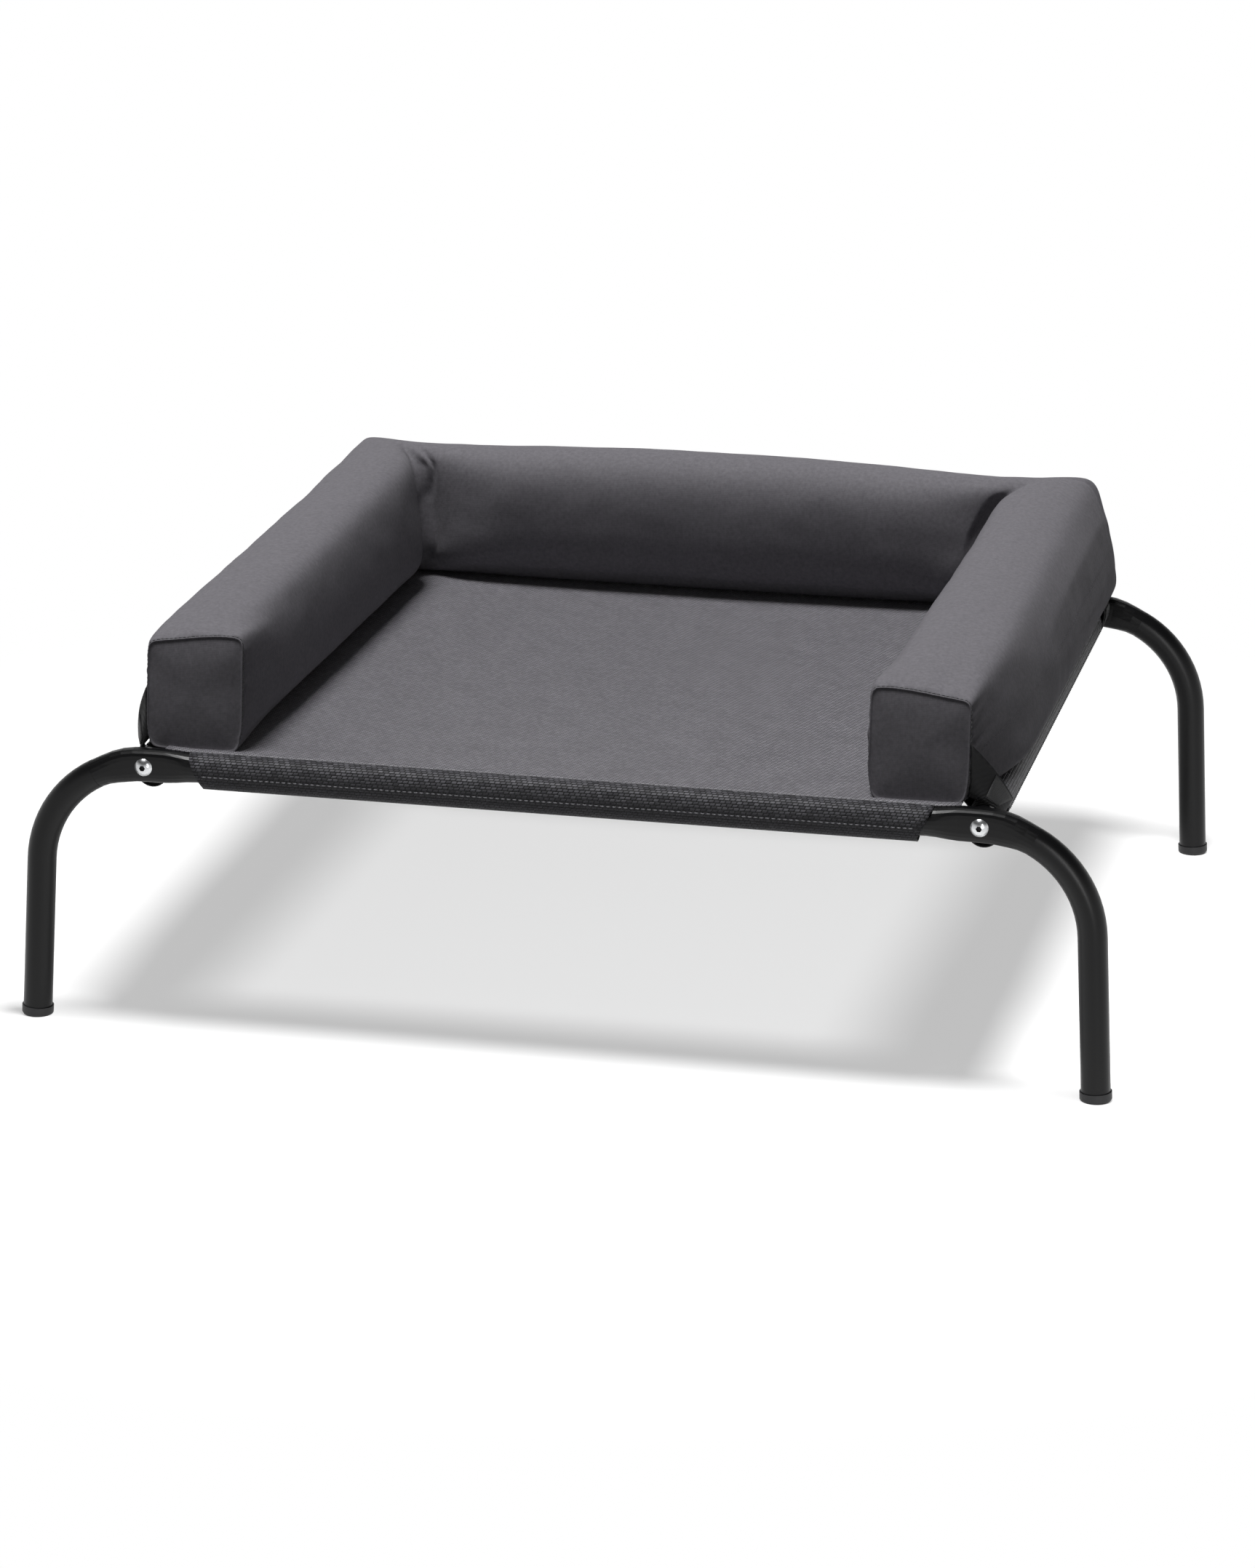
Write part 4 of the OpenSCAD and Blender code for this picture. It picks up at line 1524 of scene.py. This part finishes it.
    def build_panel(self, side: Side) -> bpy.types.Object:
        """Builds the square panel sewn into an arm's end, puffed a little, with its turned seam edge.

        Args:
            side: which arm.

        Returns:
            The panel.
        """
        edge = self.ends[side]
        middle = edge.mean(axis=0)
        inmost, level = self.panel_edge[-1]
        puff = self.panel_puff / MM
        levels = [*self.panel_edge]
        levels += [(scale, level - puff * (1 - (scale / inmost) ** 3)) for scale in self.panel_inside]
        rings = [middle + (edge - middle) * scale for scale, _ in levels] + [middle[None]]
        deep = np.repeat([*(deep for _, deep in levels), level - puff], [len(ring) for ring in rings])
        place = np.concatenate(rings)
        place[:, 1] = self.end_line(place[:, 2]) + deep * MM
        cloth = np.stack([place[:, 0], place[:, 2], 0 * place[:, 0]], axis=1)
        tip = len(place) - 1
        last = tip - self.around
        faces = strip_faces(len(levels), self.around, True)
        faces += [(last + k, last + (k + 1) % self.around, tip) for k in range(self.around)]
        size, high = self.panel_lumps
        place[:, 1] += ripple(place, size, 6.0) * high
        name = f"{side.name.lower()}_end_panel"
        piece = make_piece(f"{name}_cloth", place, faces, cloth)
        if piece.data.polygons[-1].normal.y > 0:
            piece.data.flip_normals()
        thicken(piece, self.panel_cloth, -1.0)
        dress(piece, COVER_CLOTH, "cover", name)
        seam = np.concatenate([edge, edge[:1]])
        seam[:, 1] = self.end_line(seam[:, 2]) + self.seam_behind
        away = seam - middle
        away[:, 1] = -self.seam_look * np.linalg.norm(away, axis=1)
        # Near-black stitches paint the shadow line of the seam's groove
        thread = self.seam_stitching.sew(f"{name}_seam", seam, away)
        dress(thread, SEAM_SHADE_THREAD, "cover")
        return piece

    def build(self) -> None:
        """Builds the cover and the two end panels."""
        self.build_cover()
        for side in Side:
            self.build_panel(side)


@dataclass
class Straps:
    """Webbing straps that tie the bolster's corners round the side rails, with their hook patches."""

    rail_x: float
    rail_z: float
    tube_radius: float
    loop_low: float
    ends: dict[Side, np.ndarray]
    width: float = 25 * MM
    thick: float = 1.2 * MM
    gap: float = 0.3 * MM
    cols: int = 9
    # A front strap is sewn into the end panel's seam between these heights, just outside it
    sewn_high: float = 260 * MM
    sewn_low: float = 221 * MM
    sewn_out: float = 0.8 * MM
    tab_rows: int = 15
    # Its tab ends over the rail, its rear edge standing off the rail and its front edge lying on it
    tab_low: float = 10 * MM
    bulge: float = 17 * MM
    hug: float = 7.5 * MM
    # On the way its rear edge bows out, and the strap buckles a little along the rail
    bow: float = 3 * MM
    buckle: float = 2 * MM
    # A rear strap's tab, from the bolster's lower edge to the rail's side: out and up from its middle in mm
    rear_line: tuple[tuple[float, float], ...] = (
        (8.0, 14.2),
        (9.6, 13.8),
        (11.0, 13.1),
        (12.2, 12.2),
        (13.2, 10.6),
        (13.8, 7.4),
        (13.5, 3.8),
        (12.5, 0.3),
    )
    rear_slack: float = 2.5 * MM
    # Points down a straight of the loop, under the rail and over it
    loop_steps: tuple[int, int, int] = (4, 18, 12)
    # The end of the loop lies over the rail, drawn a little closer to it
    loop_end: float = math.radians(70)
    loop_tuck: float = 0.1 * MM
    patch_out: float = 1.15 * MM
    patch_thick: float = 1.0 * MM

    @classmethod
    def from_frame(cls, ends: dict[Side, np.ndarray]) -> "Straps":
        """Takes the sizes from the CAD nodes, and the seams of the bolster's end panels."""
        rail_x, _, rail_z = middle_of("right_side_rail")
        return cls(
            rail_x=rail_x,
            rail_z=rail_z,
            tube_radius=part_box("right_side_rail")[1].x - rail_x,
            loop_low=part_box("strap_front_right")[0].z - rail_z,
            ends=ends,
        )

    @property
    def radius(self) -> float:
        """Radius of the strap's middle line round the rail."""
        return self.tube_radius + self.gap + self.thick / 2

    def loop(self, slack: float) -> np.ndarray:
        """The strap's middle line from the rail's outer side: down, under it in a slack loop and back over.

        Args:
            slack: how far the loop hangs under the rail.

        Returns:
            Points as (out of the bed, up) from the rail's centre.
        """
        flat, under_steps, over_steps = self.loop_steps
        down = np.stack([np.full(flat, self.radius), np.linspace(0, -slack, flat)], axis=1)
        turn = np.linspace(0, -math.pi, under_steps + 1)[1:]
        under = self.radius * circle(turn) - (0, slack)
        up = np.stack([np.full(flat, -self.radius), np.linspace(-slack, 0, flat + 1)[1:]], axis=1)
        turn = np.linspace(math.pi, self.loop_end, over_steps + 1)[1:]
        over = (self.radius - self.loop_tuck) * circle(turn)
        return np.concatenate([down, under, up, over])

    def rows(self, side: Side, y: float, line: np.ndarray) -> np.ndarray:
        """Straight rows of points across a strap.

        Args:
            side: which rail.
            y: the strap's middle along the rail.
            line: the strap's line as (out of the bed, up) from the rail's centre.

        Returns:
            A row for each point of the line, from the strap's rear edge to its front one.
        """
        spread = y + np.linspace(0.5, -0.5, self.cols) * self.width
        return np.array(
            [[(side.value * (self.rail_x + out), at, self.rail_z + up) for at in spread] for out, up in line]
        )

    def front_tab(self, side: Side, y: float) -> np.ndarray:
        """The tab of a front strap: sewn upright into the end panel's seam, it twists down to the rail.

        Args:
            side: which arm.
            y: the strap's middle along the rail.

        Returns:
            Rows of points from the seam to the rail's outer side, each from the rear edge to the front one.
        """
        edge = self.ends[side]
        outer = edge[edge[:, 0] * side.value > (edge[:, 0] * side.value).mean()]
        outer = outer[np.argsort(outer[:, 2])]
        share = np.linspace(0, 1, self.cols)
        seam_z = blend(self.sewn_high, self.sewn_low, share)
        seam_x = np.interp(seam_z, outer[:, 2], outer[:, 0]) + side.value * self.sewn_out
        seam = np.stack([seam_x, np.full(self.cols, edge[0, 1]), seam_z], axis=1)
        low = self.rows(side, y, [(0.0, self.tab_low)])[0]
        low[:, 0] += side.value * blend(self.bulge, self.hug, share)
        rows = []
        for step in np.linspace(0, 1, self.tab_rows):
            row = blend(seam, low, step)
            row[:, 0] += side.value * self.bow * math.sin(math.pi * step) * (1 - share)
            row[:, 1] += self.buckle * math.sin(math.pi * step) * np.sin(2 * math.pi * share)
            rows.append(row)
        return np.array(rows)

    def ribbon(self, name: str, rows: np.ndarray) -> tuple[bpy.types.Object, float]:
        """Builds a strip of webbing through rows of points.

        Args:
            name: the piece's name.
            rows: rows of points across the strip.

        Returns:
            The strip and the length of its middle line.
        """
        cols = rows.shape[1]
        along = distances(rows[:, cols // 2])
        spread = np.linspace(-0.5, 0.5, cols) * self.width
        cloth = np.array([(w, s, 0.0) for s in along for w in spread])
        piece = make_piece(name, rows.reshape(-1, 3), strip_faces(len(rows), cols, False), cloth)
        return piece, float(along[-1])

    def build(self) -> None:
        """Builds the four straps and their hook patches."""
        front_slack = -self.loop_low - self.radius - self.thick / 2
        for end in End:
            for side in Side:
                name = f"strap_{end.name.lower()}_{side.name.lower()}"
                y = middle_of(name)[1]
                if end is End.FRONT:
                    tab, slack = self.front_tab(side, y), front_slack
                else:
                    tab, slack = self.rows(side, y, np.array(self.rear_line) * MM), self.rear_slack
                rows = np.concatenate([tab, self.rows(side, y, self.loop(slack))])
                piece, length = self.ribbon(f"{name}_webbing", rows)
                thicken(piece, self.thick, 0.0)
                dress(piece, STRAP_WEBBING, "webbing", name)
                self.build_patch(name, tab, side)

    def build_patch(self, name: str, tab: np.ndarray, side: Side) -> None:
        """Builds the hook patch on the lower part of a strap's tab.

        Args:
            name: the strap's name.
            tab: the tab's rows of points.
            side: which arm.
        """
        part = tab[len(tab) // 2 :, 1:-1].copy()
        part[:, :, 0] += side.value * self.patch_out
        patch, length = self.ribbon(f"{name}_hook_patch", part)
        thicken(patch, self.patch_thick, 0.0)
        dress(patch, HOOK_TAPE, "hook", "strap_hook_patches")


@dataclass
class Studio:
    """The pale floor, the soft overhead light and the camera."""

    camera_place: tuple[float, float, float] = (0.84406, -3.94392, 1.35512)
    yaw: float = math.radians(-12.27)
    pitch: float = math.radians(17.02)
    roll: float = math.radians(0.47)
    # Focal length and height of the photograph in its pixels
    focal_px: float = 7302
    photo_px: float = 2156
    sensor_mm: float = 36.0
    clip: tuple[float, float] = (0.1, 60.0)
    floor_size: float = 24.0
    floor_colour: str = "#f8f8f8"
    # What the floor throws back up is less than what it shows, as though black flags stood round the cot
    flagged_colour: str = "#343435"
    # The floor glows by this share near the cot, and turns pure white between these distances from it
    glow: float = 0.5
    whitens: tuple[float, float] = (0.5, 1.0)
    key_place: tuple[float, float, float] = (0.0, 0.0, 3.0)
    key_strength: float = 3.1
    key_angle: float = math.radians(20)
    key_tilt: tuple[float, float] = (math.radians(3), math.radians(-9))
    # Light from the dim ceiling, and the heights between which the white horizon fades into it
    fill: float = 0.085
    horizon: tuple[float, float] = (0.1, 0.5)
    # The floor has a light of its own, low enough to spread the cot's shadow
    floor_light: tuple[float, float, float] = (0.27, -0.4, 2.5)
    floor_light_size: float = 0.75
    floor_power: float = 122.0
    # Share of the floor's light that gets through the open mesh of the bed
    sifted: float = 0.29
    # A tall narrow light that shows only as a long streak on the tubes
    strip_place: tuple[float, float, float] = (1.5, -2.2, 0.9)
    strip_size: tuple[float, float] = (0.25, 1.6)
    strip_power: float = 16.0
    floor_lamps: dict[str, bpy.types.Object] = field(default_factory=dict)

    def show(self, name: str, data: bpy.types.ID) -> bpy.types.Object:
        """Puts a mesh, lamp or camera in the scene as an object."""
        shown = bpy.data.objects.new(name, data)
        bpy.context.scene.collection.objects.link(shown)
        return shown

    def build_camera(self) -> None:
        """Places the camera where the photograph was taken from."""
        level = math.cos(self.pitch)
        ahead = Vector((math.sin(self.yaw) * level, math.cos(self.yaw) * level, -math.sin(self.pitch)))
        right = Vector((math.cos(self.yaw), -math.sin(self.yaw), 0))
        up = right.cross(ahead)
        turned_right = math.cos(self.roll) * right + math.sin(self.roll) * up
        turned_up = -math.sin(self.roll) * right + math.cos(self.roll) * up
        lens = bpy.data.cameras.new("camera")
        lens.lens = self.focal_px / self.photo_px * self.sensor_mm
        lens.sensor_width, lens.sensor_fit = self.sensor_mm, "AUTO"
        lens.clip_start, lens.clip_end = self.clip
        camera = self.show("camera", lens)
        turned = Matrix((turned_right, turned_up, -ahead)).transposed().to_4x4()
        camera.matrix_world = Matrix.Translation(self.camera_place) @ turned
        bpy.context.scene.camera = camera

    def seen(self, nodes: Shading) -> NodeSocket:
        """1 for what the camera sees straight, mirrored or through glass, and 0 for what lights the cot."""
        path = add_node(nodes.tree, "ShaderNodeLightPath").outputs
        both = nodes.maths("MAXIMUM", path["Is Camera Ray"], path["Is Glossy Ray"])
        return nodes.maths("MAXIMUM", both, path["Is Transmission Ray"])

    def build_floor(self) -> bpy.types.Object:
        """Builds the pale floor, which shows white where nothing shades it.

        Returns:
            The floor.
        """
        half = self.floor_size / 2
        corners = [(-half, -half, 0), (half, -half, 0), (half, half, 0), (-half, half, 0)]
        mesh = bpy.data.meshes.new("floor")
        mesh.from_pydata(corners, [], [(0, 1, 2, 3)])
        floor = self.show("floor", mesh)
        paper = bpy.data.materials.new("seamless_paper")
        nodes = Shading(paper)
        seen = self.seen(nodes)
        tint = nodes.tint(seen, self.flagged_colour, self.floor_colour)
        matt = add_node(nodes.tree, "ShaderNodeBsdfDiffuse", {"Color": tint})
        white = add_node(nodes.tree, "ShaderNodeEmission", {"Strength": 1.0})
        far = add_node(nodes.tree, "ShaderNodeVectorMath", {0: nodes.place()}, operation="LENGTH")
        glow = nodes.ranged(far.outputs["Value"], self.glow, 1.0, self.whitens)
        share = nodes.maths("MULTIPLY", seen, glow)
        both = {0: share, 1: matt.outputs["BSDF"], 2: white.outputs["Emission"]}
        mixed = add_node(nodes.tree, "ShaderNodeMixShader", both)
        add_node(nodes.tree, "ShaderNodeOutputMaterial", {"Surface": mixed.outputs["Shader"]})
        mesh.materials.append(paper)
        return floor

    def hang(self, lamp: bpy.types.Light, place: Sequence[float], turn: Sequence[float]) -> bpy.types.Object:
        """Hangs a lamp that shines straight down but for its turn about X, Y and Z."""
        hung = self.show(lamp.name, lamp)
        hung.location, hung.rotation_euler = place, turn
        return hung

    def picked(self, name: str, piece: bpy.types.Object, state: str) -> bpy.types.Collection:
        """A collection that tells a lamp to light, or be blocked by, only this piece or all but it."""
        group = bpy.data.collections.new(name)
        group.objects.link(piece)
        group.collection_objects[0].light_linking.link_state = state
        return group

    def build_light(self, floor: bpy.types.Object) -> None:
        """Hangs one large soft light over the cot, and the floor's own light beside it."""
        key = bpy.data.lights.new("overhead_light", "SUN")
        key.energy, key.angle = self.key_strength, self.key_angle
        hung = self.hang(key, self.key_place, (*self.key_tilt, 0.0))
        hung.light_linking.receiver_collection = self.picked("all_but_floor", floor, "EXCLUDE")
        for name, share in (("floor_light", 1 - self.sifted), ("light_through_mesh", self.sifted)):
            lamp = bpy.data.lights.new(name, "AREA")
            lamp.shape, lamp.size, lamp.energy = "DISK", self.floor_light_size, share * self.floor_power
            hung = self.hang(lamp, self.floor_light, (0.0, 0.0, 0.0))
            hung.light_linking.receiver_collection = self.picked(f"{name}_floor", floor, "INCLUDE")
            self.floor_lamps[name] = hung

    def build_strip(self) -> None:
        """Stands a strip light beside the camera, which gives the tubes their streak and nothing else."""
        lamp = bpy.data.lights.new("strip_light", "AREA")
        lamp.shape, lamp.energy = "RECTANGLE", self.strip_power
        lamp.size, lamp.size_y = self.strip_size
        turn = (-Vector((*self.strip_place[:2], 0.0))).to_track_quat("-Z", "Y").to_euler()
        stood = self.hang(lamp, self.strip_place, turn)
        stood.visible_diffuse = stood.visible_camera = False

    def sift(self, mesh: bpy.types.Object) -> None:
        """Lets part of the floor's light through the open mesh of the bed."""
        lamp = self.floor_lamps["light_through_mesh"]
        lamp.light_linking.blocker_collection = self.picked("all_but_mesh", mesh, "EXCLUDE")

    def build_room(self) -> None:
        """Puts a white horizon round the floor under a dim ceiling, with a low fill."""
        room = bpy.data.worlds.new("room")
        nodes = Shading(room)
        way = add_node(nodes.tree, "ShaderNodeSeparateXYZ", {"Vector": nodes.place("Generated")})
        white = nodes.ranged(way.outputs["Z"], 1.0, self.fill, self.horizon)
        shares = {"Factor": self.seen(nodes), 2: self.fill, 3: white}
        strength = add_node(nodes.tree, "ShaderNodeMix", shares, data_type="FLOAT")
        light = {"Color": linear("#ffffff"), "Strength": strength.outputs[0]}
        sky = add_node(nodes.tree, "ShaderNodeBackground", light)
        add_node(nodes.tree, "ShaderNodeOutputWorld", {"Surface": sky.outputs["Background"]})
        bpy.context.scene.world = room

    def build(self) -> None:
        """Sets up camera, floor and light, and the plain view transform."""
        bpy.context.scene.view_settings.view_transform = "Standard"
        self.build_camera()
        self.build_light(self.build_floor())
        self.build_strip()
        self.build_room()


def main() -> None:
    """Builds the studio and the cot's sub-assemblies in order."""
    logging.basicConfig(level=logging.INFO, format="%(name)s: %(message)s")
    studio = Studio()
    studio.build()
    SteelFrame().dress()
    studio.sift(MeshBed.from_frame().build())
    bolster = Bolster.from_frame()
    bolster.build()
    Straps.from_frame(bolster.ends).build()


if __name__ == "__main__":
    main()
